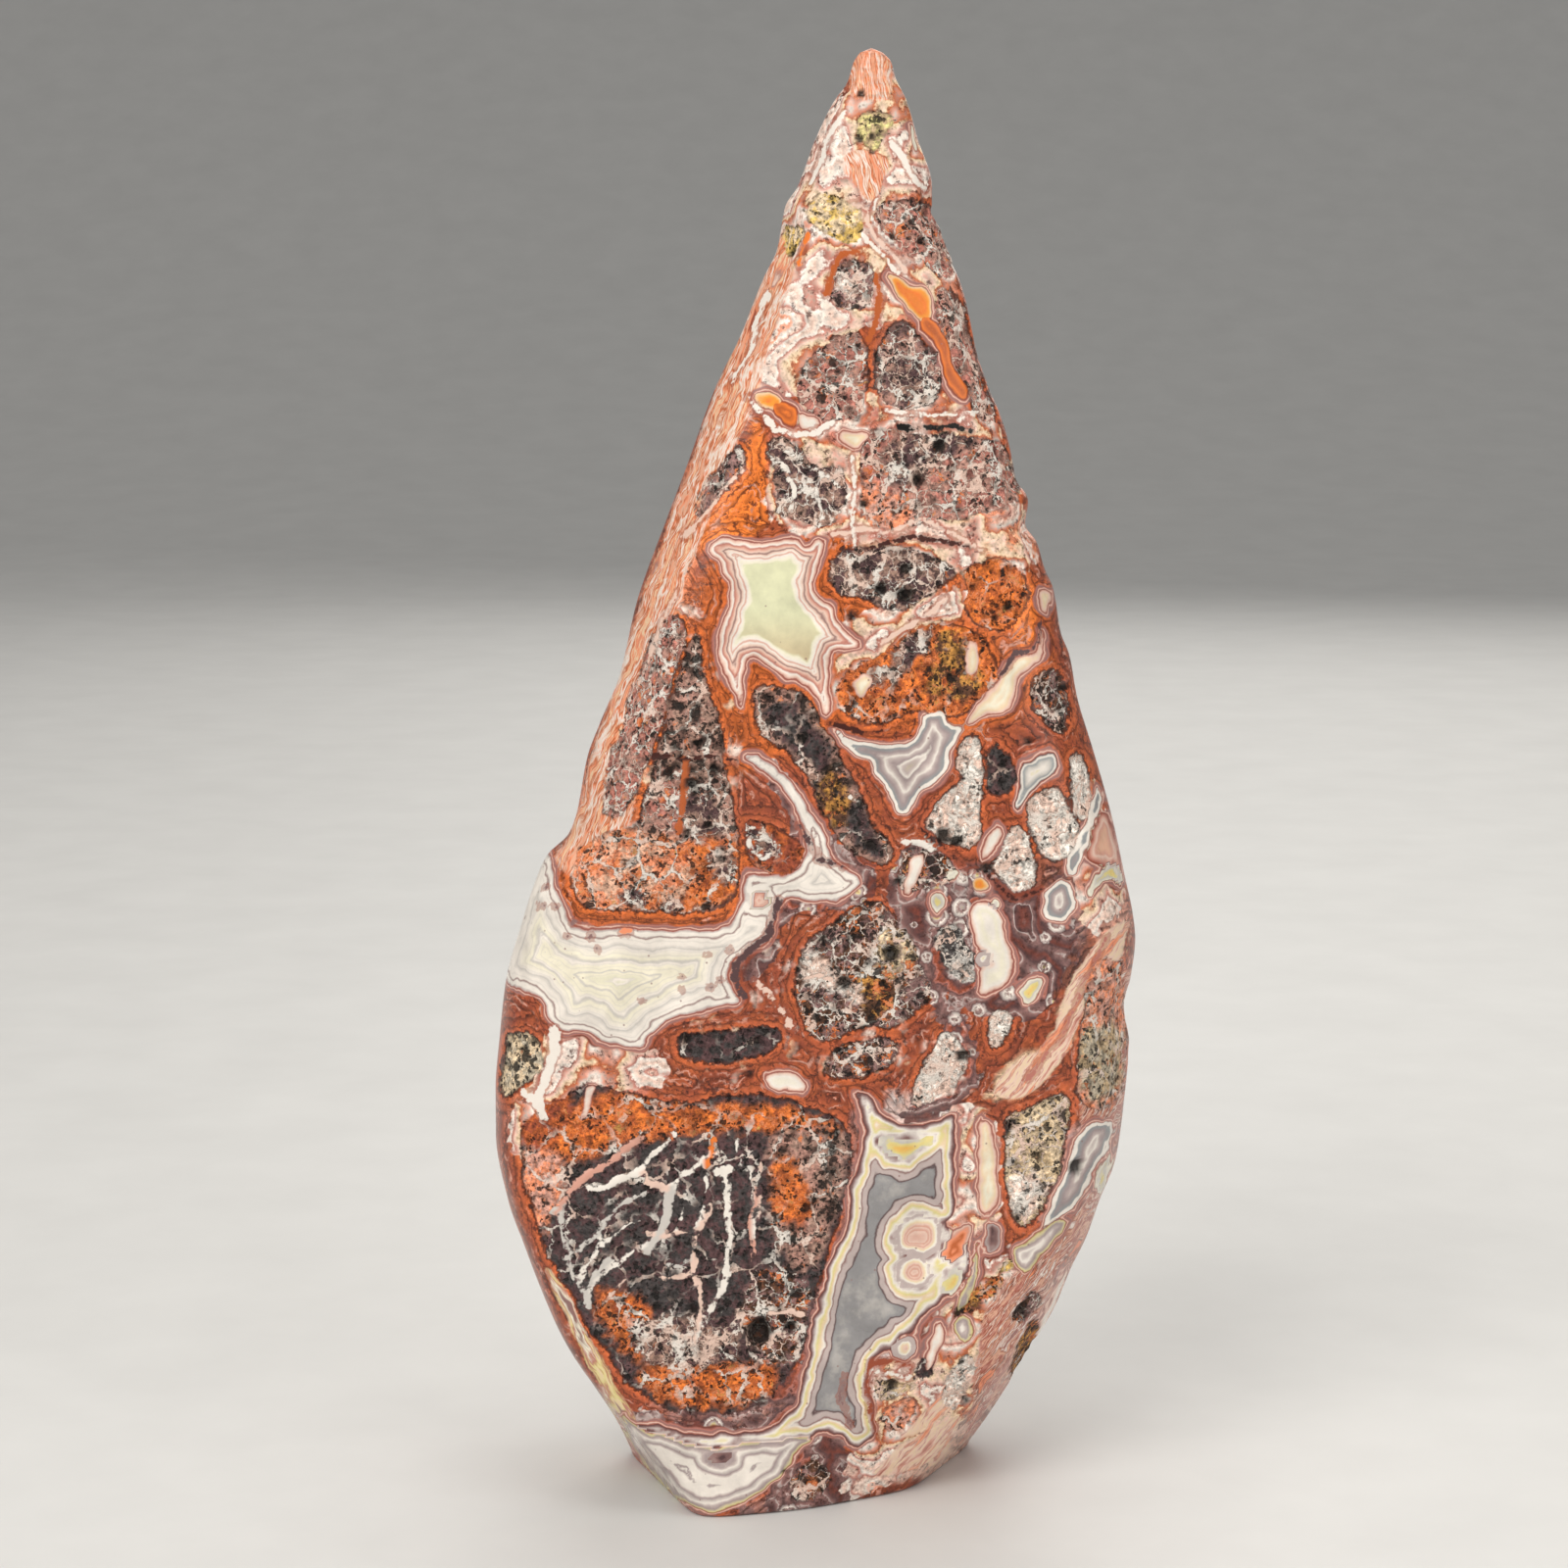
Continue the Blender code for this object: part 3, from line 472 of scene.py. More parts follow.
SWIRLS = [
    (1, 1.0, 8, "852,90 878,100 855,160 832,200 814,240 797,268 772,305 750,305 785,215 825,130"),
    (1, 1.0, 8, "908,62 932,75 950,130 968,180 980,225 958,212 934,192 916,152 903,100"),
    (0, 1.0, 12, "925,850 960,872 1000,888 1050,905 1095,905 1100,960 1080,1010 1052,1050 1030,1030 "
     "1000,1040 968,1020 945,985 928,940 905,912"),
    (0, 1.0, 12, "640,1430 700,1458 790,1450 828,1370 868,1250 878,1130 892,1140 885,1250 850,1380 "
     "830,1470 800,1500 740,1552 640,1480"),
    (0, 0.9, 10, "760,770 800,780 850,860 905,890 880,930 800,930 790,985 760,1010 745,985 790,920 "
     "820,880 800,820"),
    (0, 1.0, 8, "900,905 930,915 950,960 968,1010 985,1040 1005,1090 985,1130 945,1150 915,1140 960,1110 "
     "985,1070 955,1045 940,990 915,940"),
    (0, 1.0, 8, "775,1530 800,1475 838,1455 870,1480 880,1540 800,1560"),
    (0, 0.5, 12, "640,1385 760,1430 825,1380 870,1150 880,1190 850,1330 820,1450 700,1470"),
    (1, 1.0, 10, "960,1130 1018,1128 1022,1260 1000,1320 975,1345 955,1345 975,1300 960,1240 968,1190"),
    (1, 1.0, 12, "985,1300 1030,1275 1060,1270 1030,1320 1000,1370 1000,1420 960,1480 900,1520 860,1535 "
     "868,1480 895,1465 885,1400 930,1370 950,1345"),
    (1, 1.0, 10, "555,1045 610,1055 665,1062 690,1105 640,1115 600,1102 570,1130 560,1180 525,1185 "
     "515,1140 548,1100"),
    (1, 1.0, 12, "855,105 930,100 955,190 900,205 960,215 985,300 900,330 850,345 790,320 790,250 "
     "815,200 835,140"),
    (1, 0.9, 12, "770,300 850,340 870,400 820,400 790,405 740,440 755,350"),
    (1, 0.55, 12, "820,400 1010,400 1050,520 1060,590 1000,600 880,560 780,545 780,440"),
    (1, 0.6, 10, "860,630 960,595 1010,610 960,645 900,680 850,745 840,690"),
    (1, 1.0, 10, "1105,790 1122,800 1150,900 1146,930 1110,960 1095,900"),
    (1, 0.38, 12, "690,560 760,700 760,840 600,900 560,870 640,690"),
    (1, 0.35, 12, "780,900 1000,1040 1010,1130 860,1120 680,1110 700,1030"),
]

# Open bubbles and vugs of the front face: centre and radius in pixels.
HOLES = [
    (910, 973, 11), (775, 1360, 15), (776, 1352, 9), (806, 1355, 7), (822, 1232, 7), (852, 1230, 6),
    (853, 1158, 6), (670, 1333, 5), (705, 1336, 6), (879, 97, 5), (878, 139, 5), (892, 137, 4),
    (890, 156, 4), (942, 245, 5), (912, 240, 4), (941, 205, 4), (807, 258, 5), (697, 1060, 7),
    (770, 1062, 5), (882, 515, 6), (940, 490, 8), (960, 455, 7), (735, 880, 5), (1052, 755, 5),
    (984, 1078, 7), (1030, 1150, 6), (1060, 1180, 6), (1040, 1245, 5), (862, 1002, 9), (840, 962, 6),
    (900, 1003, 5), (880, 1050, 5), (855, 1072, 5), (712, 760, 7), (728, 786, 8), (705, 800, 7),
    (680, 790, 7), (722, 842, 6), (700, 850, 5), (820, 755, 6), (845, 785, 6), (888, 862, 7),
    (1026, 776, 5), (1022, 800, 5), (1088, 700, 5), (1088, 740, 5), (962, 852, 9), (976, 858, 8),
    (1008, 886, 7), (920, 900, 6), (925, 580, 7), (900, 600, 8), (925, 606, 9), (1030, 618, 6),
    (995, 600, 5), (870, 630, 5), (1018, 630, 5), (800, 1500, 4), (764, 1098, 5), (838, 1500, 5),
    (912, 1414, 8), (986, 1430, 5), (1046, 1338, 8), (1098, 1190, 8),
]

# Pocket bands, from the wall inwards: (pixels from the wall, tone). Ivory comes first, and kinds that lie
# in one another are neighbours.
BANDS = {
    "ivory": [
        (0, "rose"), (1.5, "lilac"), (3, "white"), (6, "white"), (7.5, "mauve"), (9, "white"),
        (16, "white"), (18, "mist"), (20, "white"), (28, "ivory"), (31, "mist"), (33, "white"),
        (37, "ivory"), (43, "ivory"), (44.5, "mist"), (46, "ivory"), (52, "core"), (54, "white"),
        (57, "core"), (80, "core"),
    ],
    "star": [
        (0, "rose"), (2, "blush"), (4, "white"), (5.5, "rose"), (7, "pink"), (9, "blush"), (10.5, "mauve"),
        (12, "blush"), (14, "white"), (15.5, "pink"), (17, "white"), (20, "ivory"), (22, "greenish"),
        (60, "greenish"),
    ],
    "lilac": [
        (0, "white"), (3, "white"), (4, "blue_grey"), (8, "lavender"), (11, "lilac"), (13, "white"),
        (16, "lilac"), (19, "lavender"), (21, "white"), (24, "lilac"), (28, "beige"), (40, "beige"),
    ],
    "cream": [(0, "pink"), (2, "blush"), (4, "cream"), (8, "ivory"), (14, "cream"), (30, "ivory")],
    "blue": [
        (0, "plum"), (2, "white"), (4, "blue_grey"), (7, "mist"), (11, "white"), (14, "lemon"),
        (20, "mist"),
    ],
    "yellow": [(0, "ivory"), (3.4, "mist"), (4.5, "lemon"), (8, "yellow"), (13, "amber"), (20, "yellow")],
    "quartz": [
        (0, "plum"), (1.6, "mauve"), (3, "lilac"), (4.5, "white"), (7, "lemon"), (9, "cream"),
        (11, "white"), (12.5, "mauve"), (14, "lilac"), (18, "lilac"), (19.5, "plum"), (21, "grey"),
        (60, "grey"),
    ],
    "orb": [
        (0, "lilac"), (4.5, "lilac"), (5.5, "white"), (6.5, "ivory"), (8, "cream"), (9.5, "blush"),
        (11, "pink"), (12, "blush"), (14, "pink"), (15, "blush"), (22, "pink"),
    ],
    "white": [(0, "rose"), (1.5, "blush"), (4, "white"), (10, "ivory"), (14, "white"), (30, "white")],
    "lavender": [
        (0, "lemon"), (2, "beige"), (3, "lavender"), (5, "lilac"), (7, "white"), (12, "lavender"),
        (13, "lilac"), (15, "white"), (22, "white"), (23.5, "lavender"), (25, "white"), (36, "white"),
        (38, "lilac"), (40, "white"),
    ],
    "plum": [(0, "lilac"), (3, "mauve"), (5, "plum"), (20, "plum")],
    "peach": [
        (0, "brick"), (2, "rose"), (4, "pink"), (7, "blush"), (9, "pink"), (13, "peach"), (20, "blush"),
    ],
    "salmon": [
        (0, "blush"), (2, "pink"), (4, "salmon"), (7, "rust"), (9, "salmon"), (12, "orange"),
        (20, "salmon"),
    ],
    "ember": [(0, "brick"), (2, "orange"), (6, "rust"), (9, "orange"), (20, "amber")],
    "amber": [(0, "cream"), (3, "amber"), (6, "orange"), (20, "amber")],
}
POCKET_KINDS = list(BANDS)
BAND_REACH = 80.0


def curve_through(keys, at):
    """A smooth curve through (height, value) keys that never overshoots between them."""
    x, y = np.array(keys, float).T
    at = np.clip(np.asarray(at, float), x[0], x[-1])
    step = np.diff(x)
    slope = np.diff(y) / step
    bends = slope[:-1] * slope[1:] > 0
    safe = np.where(bends, slope[:-1] * slope[1:], 1.0)
    inner = np.where(bends, 2 * safe / np.where(bends, slope[:-1] + slope[1:], 1.0), 0.0)
    tangent = np.concatenate([slope[:1], inner, slope[-1:]])
    i = np.clip(np.searchsorted(x, at) - 1, 0, len(step) - 1)
    t = (at - x[i]) / step[i]
    return (
        y[i] * (1 + 2 * t) * (1 - t) ** 2
        + y[i + 1] * t * t * (3 - 2 * t)
        + step[i] * (tangent[i] * t * (1 - t) ** 2 - tangent[i + 1] * t * t * (1 - t))
    )


def path_length(points):
    """How far along a path each of its points is."""
    return np.concatenate([[0], np.cumsum(np.linalg.norm(np.diff(points, axis=0), axis=1))])


def along(points, count):
    """Points evenly spaced along an open path, its last point left out."""
    reach = path_length(points)
    at = np.linspace(0, reach[-1], count, endpoint=False)
    return np.stack([np.interp(at, reach, points[:, k]) for k in (0, 1)], 1)


def section(height):
    """One horizontal section of the stone: front path from left edge to right edge, then round the back."""
    left, right = curve_through(LEFT_OUTLINE, height), curve_through(RIGHT_OUTLINE, height)
    corners = []
    for keys in RIDGES.values():
        share = curve_through([(z, u) for z, u, _ in keys], height)
        depth = curve_through([(z, y) for z, _, y in keys], height)
        corners.append((left + share * (right - left), depth))
    crown = min(1.0, (right - left) / FULL_CROWN_WIDTH)
    corners.insert(2, np.mean(corners[1:3], axis=0) - (0, FRONT_CROWN * crown))
    corners.insert(6, np.mean(corners[5:7], axis=0) + (0, BACK_CROWN * crown))
    sides = len(corners)
    loop = np.concatenate([
        np.linspace(start, end, SECTION_SAMPLES, endpoint=False)
        for start, end in zip(corners, corners[1:] + corners[:1])
    ])
    closed = np.concatenate([loop, loop[:1]])
    front_share = path_length(closed)[sides // 2 * SECTION_SAMPLES] / path_length(closed)[-1]
    loop = along(closed, len(loop))
    turns = np.fft.fftfreq(len(loop), 1 / len(loop))
    fading = np.exp(-2 * (math.pi * turns * RIDGE_ROUNDING) ** 2)
    loop = np.real(np.fft.ifft(np.fft.fft(loop, axis=0) * fading[:, None], axis=0))
    low, high = loop[:, 0].min(), loop[:, 0].max()
    loop[:, 0] = left + (loop[:, 0] - low) * (right - left) / (high - low)
    right_end = round(front_share * len(loop))
    front = along(loop[: right_end + 1], FRONT_STEPS)
    back = along(np.concatenate([loop[right_end:], loop[:1]]), BACK_STEPS)
    return np.concatenate([front, back])


def smooth_grid():
    """The polished shape as rings of points, with a rounded foot, in millimetres."""
    foot = [(0.0, 0.8), (0.12, 0.42), (0.4, 0.12)]
    rings = []
    for height, inset in foot:
        outline = section(FOOT_BEVEL)
        middle = outline.mean(axis=0)
        reach = np.linalg.norm(outline - middle, axis=1, keepdims=True)
        rings.append((height, middle + (outline - middle) * (1 - inset / reach)))
    for height in np.linspace(FOOT_BEVEL, TOP_RING, RING_COUNT - len(foot)):
        rings.append((height, section(height)))
    return np.array([np.column_stack([outline, np.full(len(outline), z)]) for z, outline in rings])


def grid_normals(grid):
    """The outward direction at each point of the ring grid."""
    across = np.roll(grid, -1, axis=1) - np.roll(grid, 1, axis=1)
    up = np.gradient(grid, axis=0)
    normal = np.cross(across, up)
    return normal / np.linalg.norm(normal, axis=2, keepdims=True)


CAMERA_AT = AIM + CAMERA_DISTANCE * np.array([0, -math.cos(CAMERA_RISE), math.sin(CAMERA_RISE)])


def photo_pixels(points):
    """Where points in millimetres fall in the photograph."""
    forward = np.array([0, math.cos(CAMERA_RISE), -math.sin(CAMERA_RISE)])
    up = np.array([0, math.sin(CAMERA_RISE), math.cos(CAMERA_RISE)])
    ray = points - CAMERA_AT
    depth = ray @ forward
    half = PHOTO_SIZE / 2
    return np.stack([half + FOCAL_PIXELS * ray[:, 0] / depth, half - FOCAL_PIXELS * (ray @ up) / depth], 1)


def each_noise(points, scale, seed=0.0):
    """Smooth noise from -1 to 1 at each point, with features 1 / scale millimetres wide."""
    shift = Vector((seed, seed * 1.7, -seed))
    return np.array([noise.noise(Vector(p) * scale + shift) for p in points])


def traced(text):
    """The points of an outline or route, written as "x,y x,y"."""
    return np.array([pair.split(",") for pair in text.split()], float)


def rounded(outline, rounds):
    """An outline with its corners cut, twice as many each round."""
    points = traced(outline)
    for _ in range(rounds):
        following = np.roll(points, -1, axis=0)
        cut = [0.75 * points + 0.25 * following, 0.25 * points + 0.75 * following]
        points = np.stack(cut, 1).reshape(-1, 2)
    return points


def to_segment(at, start, end):
    """Squared distance from points to one straight segment."""
    run = end - start
    t = np.clip((at - start) @ run / max(run @ run, 1e-9), 0, 1)
    return np.sum((at - start - t[:, None] * run) ** 2, axis=1)


def to_outline(at, outline, reach, rounds=1):
    """Distance from points to an outline, below zero inside it, and no more than reach outside it."""
    corners = rounded(outline, rounds)
    close = np.all((at > corners.min(0) - reach) & (at < corners.max(0) + reach), axis=1)
    near = at[close]
    nearest = np.full(len(near), 1e9)
    inside = np.zeros(len(near), bool)
    for start, end in zip(corners, np.roll(corners, -1, axis=0)):
        nearest = np.minimum(nearest, to_segment(near, start, end))
        crosses = (start[1] > near[:, 1]) != (end[1] > near[:, 1])
        slope = (end[0] - start[0]) / ((end[1] - start[1]) or 1.0)
        inside ^= crosses & (near[:, 0] < start[0] + (near[:, 1] - start[1]) * slope)
    distance = np.full(len(at), float(reach))
    distance[close] = np.where(inside, -np.sqrt(nearest), np.minimum(np.sqrt(nearest), reach))
    return distance


def to_route(at, route, reach):
    """Distance from points to an open route."""
    stops = traced(route)
    close = np.all((at > stops.min(0) - reach) & (at < stops.max(0) + reach), axis=1)
    nearest = np.full(close.sum(), float(reach) ** 2)
    for start, end in zip(stops, stops[1:]):
        nearest = np.minimum(nearest, to_segment(at[close], start, end))
    distance = np.full(len(at), float(reach))
    distance[close] = np.sqrt(nearest)
    return distance


def soft(value):
    """A smooth step from 0 to 1 as value goes from 0 to 1."""
    t = np.clip(value, 0, 1)
    return t * t * (3 - 2 * t)


def rock_rows(kinds):
    """Body tones and traits of a list of rock kinds, as three arrays."""
    rows = [ROCK[kind] for kind in kinds]
    first = np.array([TONE[row[0]] for row in rows])
    second = np.array([TONE[row[1]] for row in rows])
    return first, second, np.array([row[2:] for row in rows])


# How far, in photo pixels, distances are kept, and how deep a pocket in a pocket starts.
EDGE_REACH = 60.0
VEIN_REACH = 30.0
PATCH_REACH = 20
TINT_REACH = 24
NESTED_DEPTH = 3.5


class Pattern:
    """What the material needs to know at each vertex."""

    def __init__(self, count):
        self.edge = np.full(count, EDGE_REACH)
        self.pocket = np.full(count, -EDGE_REACH)
        self.kind = np.zeros(count)
        self.vein = np.full(count, VEIN_REACH)
        self.vein_tone = np.zeros((count, 3))
        self.rock_a = np.zeros((count, 3))
        self.rock_b = np.zeros((count, 3))
        self.rock_trait = np.zeros((count, 3))
        self.tint = np.tile(TONE["brick"], (count, 1))
        self.streak = np.zeros((count, 4))
        self.flow = np.zeros((count, 3))
        self.swirl = np.zeros((count, 3))
        self.hole = np.zeros(count)


# Noises that bend the traced lines: photo pixels, features per millimetre and seed.
WIDE_BEND = (3.5, 0.28, 3.1)
SMALL_BEND = (1.6, 0.75, 8.3)
WIDE_RAG = (7, 0.9, 12.1)
SMALL_RAG = (4, 1.9, 15.7)


def bend_noise(points, wide, small, offset=0):
    """Two noises added up, in photo pixels."""
    return sum(size * each_noise(points, scale, seed + offset) for size, scale, seed in (wide, small))


def front_pattern(points):
    """The traced pattern, read in photo pixels."""
    made = Pattern(len(points))
    at = photo_pixels(points)
    for axis in (0, 1):
        at[:, axis] += bend_noise(points, WIDE_BEND, SMALL_BEND, axis)
    first, second, trait = rock_rows([kind for kind, _ in FRAGMENTS])
    distances = np.array([to_outline(at, outline, EDGE_REACH) for _, outline in FRAGMENTS])
    owner = distances.argmin(axis=0)
    made.edge = distances.min(axis=0)
    made.rock_a, made.rock_b, made.rock_trait = first[owner], second[owner], trait[owner]
    ragged = bend_noise(points, WIDE_RAG, SMALL_RAG)
    for kind, softness, outline in ROCK_PATCHES:
        share = soft(0.5 - (to_outline(at, outline, PATCH_REACH) + ragged) / softness)[:, None]
        for mine, row in zip((made.rock_a, made.rock_b, made.rock_trait), rock_rows([kind])):
            mine += share * (row - mine)
    for tone, softness, outline in TINTS:
        share = soft(0.5 - (to_outline(at, outline, TINT_REACH) + 0.8 * ragged) / softness)[:, None]
        made.tint += share * (np.array(TONE[tone]) - made.tint)
    for kind, outline in POCKETS:
        depth = -to_outline(at, outline, EDGE_REACH)
        inner = depth > 0
        nested = made.pocket > NESTED_DEPTH
        made.kind = np.where(inner | (depth > made.pocket), POCKET_KINDS.index(kind), made.kind)
        around = np.where(made.pocket > 0, np.minimum(made.pocket, -depth), np.maximum(made.pocket, depth))
        made.pocket = np.where(inner, depth, around)
        made.pocket = np.where(nested, np.maximum(made.pocket, NESTED_DEPTH), made.pocket)
    specks = [("mauve", SPECK_WIDTH, f"{speck} {speck}") for speck in SPECKS.split()]
    for tone, width, route in VEINS + specks:
        distance = to_route(at, route, VEIN_REACH) - width / 2
        closer = distance < made.vein
        made.vein = np.where(closer, distance, made.vein)
        made.vein_tone[closer] = TONE[tone]
    for palette, (dx, dy), strength, softness, outline in STREAKS:
        share = strength * soft(0.5 - to_outline(at, outline, 2 * softness) / softness)
        made.streak[:, palette] = np.maximum(made.streak[:, palette], share)
        flow = np.column_stack([at @ (-dy, dx), at @ (dx, dy), np.zeros(len(at))])
        made.flow = np.where(share[:, None] > 0, flow, made.flow)
    for channel, strength, softness, outline in SWIRLS:
        share = strength * soft(0.5 - (to_outline(at, outline, TINT_REACH) + ragged) / softness)
        made.swirl[:, channel] = np.maximum(made.swirl[:, channel], share)
    for x, y, radius in HOLES:
        far = np.linalg.norm(at - (x, y), axis=1) / radius
        made.hole = np.maximum(made.hole, np.where(far < 1, radius * (1 - far * far), 0))
    return made


# The breccia of the sides and back: a jittered lattice of cells, some of them open pockets.
CELL = 17.0
CELL_STRETCH = np.array([1.0, 1.0, 0.75])
CELL_SEED = 23
CELL_JITTER = 0.42
CELL_WARP = 4.0
CELL_SEAM = 11
WALL_PIXELS = 15
OPEN_SHARE = 0.2
BACK_ROCKS = {
    "dark": 0.14, "laced": 0.1, "bubbly": 0.16, "mauve": 0.12, "dusky": 0.08, "tawny": 0.08, "orange": 0.08,
    "pale": 0.08, "salt": 0.07, "ochre": 0.03, "moss": 0.03, "pinkish": 0.03,
}
BACK_POCKETS = ["ivory", "star", "lilac", "quartz", "lavender", "white"]


def back_pattern(points):
    """Seeded breccia, read in space."""
    made = Pattern(len(points))
    random = np.random.default_rng(CELL_SEED)
    warp = np.stack([each_noise(points, 0.09, 20 + k) for k in range(3)], 1) * CELL_WARP
    at = (points + warp) * CELL_STRETCH
    axes = [np.arange(-54, 60, CELL), np.arange(-34, 40, CELL), np.arange(-9, 165, CELL)]
    seeds = np.stack(np.meshgrid(*axes, indexing="ij"), -1).reshape(-1, 3)
    seeds = seeds + random.uniform(-CELL_JITTER, CELL_JITTER, seeds.shape) * CELL
    rocks = random.choice(len(BACK_ROCKS), len(seeds), p=list(BACK_ROCKS.values()))
    pockets = random.choice(len(BACK_POCKETS), len(seeds))
    is_open = random.uniform(size=len(seeds)) < OPEN_SHARE
    square = ((at[:, None, :] - seeds[None]) ** 2).sum(axis=2)
    owner = square.argmin(axis=1)
    home = square[np.arange(len(at)), owner]
    apart = np.linalg.norm(seeds[owner][:, None, :] - seeds[None], axis=2)
    apart[np.arange(len(at)), owner] = 1e9
    wall = ((square - home[:, None]) / (2 * apart) + (apart > 1e8) * 1e9).min(axis=1) * PIXELS_PER_MM
    seam = CELL_SEAM + CELL_SEAM * each_noise(points, 0.05, 31)
    opened = is_open[owner]
    made.edge = np.where(opened, wall + seam, seam - wall)
    made.pocket = made.edge - WALL_PIXELS
    kinds = np.array([POCKET_KINDS.index(name) for name in BACK_POCKETS])
    made.kind = np.where(opened, kinds[pockets[owner]], POCKET_KINDS.index("white")).astype(float)
    first, second, trait = rock_rows(BACK_ROCKS)
    row = rocks[owner]
    made.rock_a, made.rock_b, made.rock_trait = first[row], second[row], trait[row]
    for channel in (0, 1):
        made.swirl[:, channel] = soft(each_noise(points, 0.035, 61 + 5 * channel) * 4 - 0.3)
    regions = [(TONE["rust"], 41, 0.02), (TONE["mauve"], 47, 0.03), (TONE["pink"], 53, 0.03)]
    for tone, seed, scale in regions:
        share = soft(each_noise(points, scale, seed) * 2.5)[:, None]
        made.tint = made.tint + share * (np.array(tone) - made.tint)
    return made


# The traced side runs on round the ridges for a few millimetres, to a line that wanders.
SEAM_FACING = -0.05
SEAM_REACH = 3.0
SEAM_WIDTH = 3.0
SEAM_RISE = 45.0


def traced_share(grid, normals):
    """1 where the photo shows the stone, 0 past the wandering seam."""
    flat, towards = normals[..., :2], (CAMERA_AT - grid)[..., :2]
    limit = SEAM_FACING * np.linalg.norm(flat, axis=2) * np.linalg.norm(towards, axis=2)
    seen = np.sum(flat * towards, axis=2) > limit
    beyond = np.zeros(seen.shape)
    for ring, row, gap in zip(grid, seen, beyond):
        rim = ring[row & ~(np.roll(row, 1) & np.roll(row, -1))]
        gap[~row] = np.linalg.norm(ring[~row][:, None] - rim[None], axis=2).min(axis=1)
    wander = SEAM_REACH * (1 + each_noise(grid.reshape(-1, 3), 0.12, 37))
    return soft(1 - (beyond.ravel() - wander) / SEAM_WIDTH)


def join(front, back, share):
    """One pattern from two, with plain agate where they meet."""
    whole = Pattern(len(share))
    meeting = 4 * share * (1 - share)
    whole.edge = share * front.edge + (1 - share) * back.edge + SEAM_RISE * meeting
    whole.pocket = share * front.pocket + (1 - share) * back.pocket - SEAM_RISE * meeting
    whole.vein = front.vein + SEAM_RISE * (1 - share)
    whole.hole = front.hole * soft(share * 2 - 1)
    whole.streak = front.streak * share[:, None]
    whole.flow = front.flow
    whole.swirl = back.swirl + share[:, None] * (front.swirl - back.swirl)
    whole.vein_tone = front.vein_tone
    whole.tint = back.tint + share[:, None] * (front.tint - back.tint)
    mine = share > 0.5
    whole.kind = np.where(mine, front.kind, back.kind)
    for name in ("rock_a", "rock_b", "rock_trait"):
        setattr(whole, name, np.where(mine[:, None], getattr(front, name), getattr(back, name)))
    return whole


ROCK_RECESS = 0.32
ROCK_ROUGHNESS = 0.26
LEDGE_PIXELS = 7.0
BUBBLE_SPACING = 2.1
BUBBLE_RADIUS = 0.42
BUBBLE_DEPTH = 0.5


def worn_depth(points, pattern):
    """How far the polish has sunk at each point: porous rock, burst bubbles and open holes."""
    rock = np.clip(0.5 - pattern.edge / LEDGE_PIXELS, 0, 1) * np.clip(0.5 - pattern.pocket / 4, 0, 1)
    rock *= np.clip(pattern.vein / 3 + 0.5, 0.25, 1)
    rough = each_noise(points, 0.45) + 0.6 * each_noise(points, 1.1, 5)
    near = np.array([noise.voronoi(Vector(p) / BUBBLE_SPACING)[0][0] for p in points])
    bubble = np.clip(1 - (near / BUBBLE_RADIUS) ** 2, 0, 1) * pattern.rock_trait[:, 1]
    hole = 0.9 * pattern.hole / PIXELS_PER_MM
    return rock * (ROCK_RECESS + ROCK_ROUGHNESS * rough + BUBBLE_DEPTH * bubble) + hole, rock * bubble


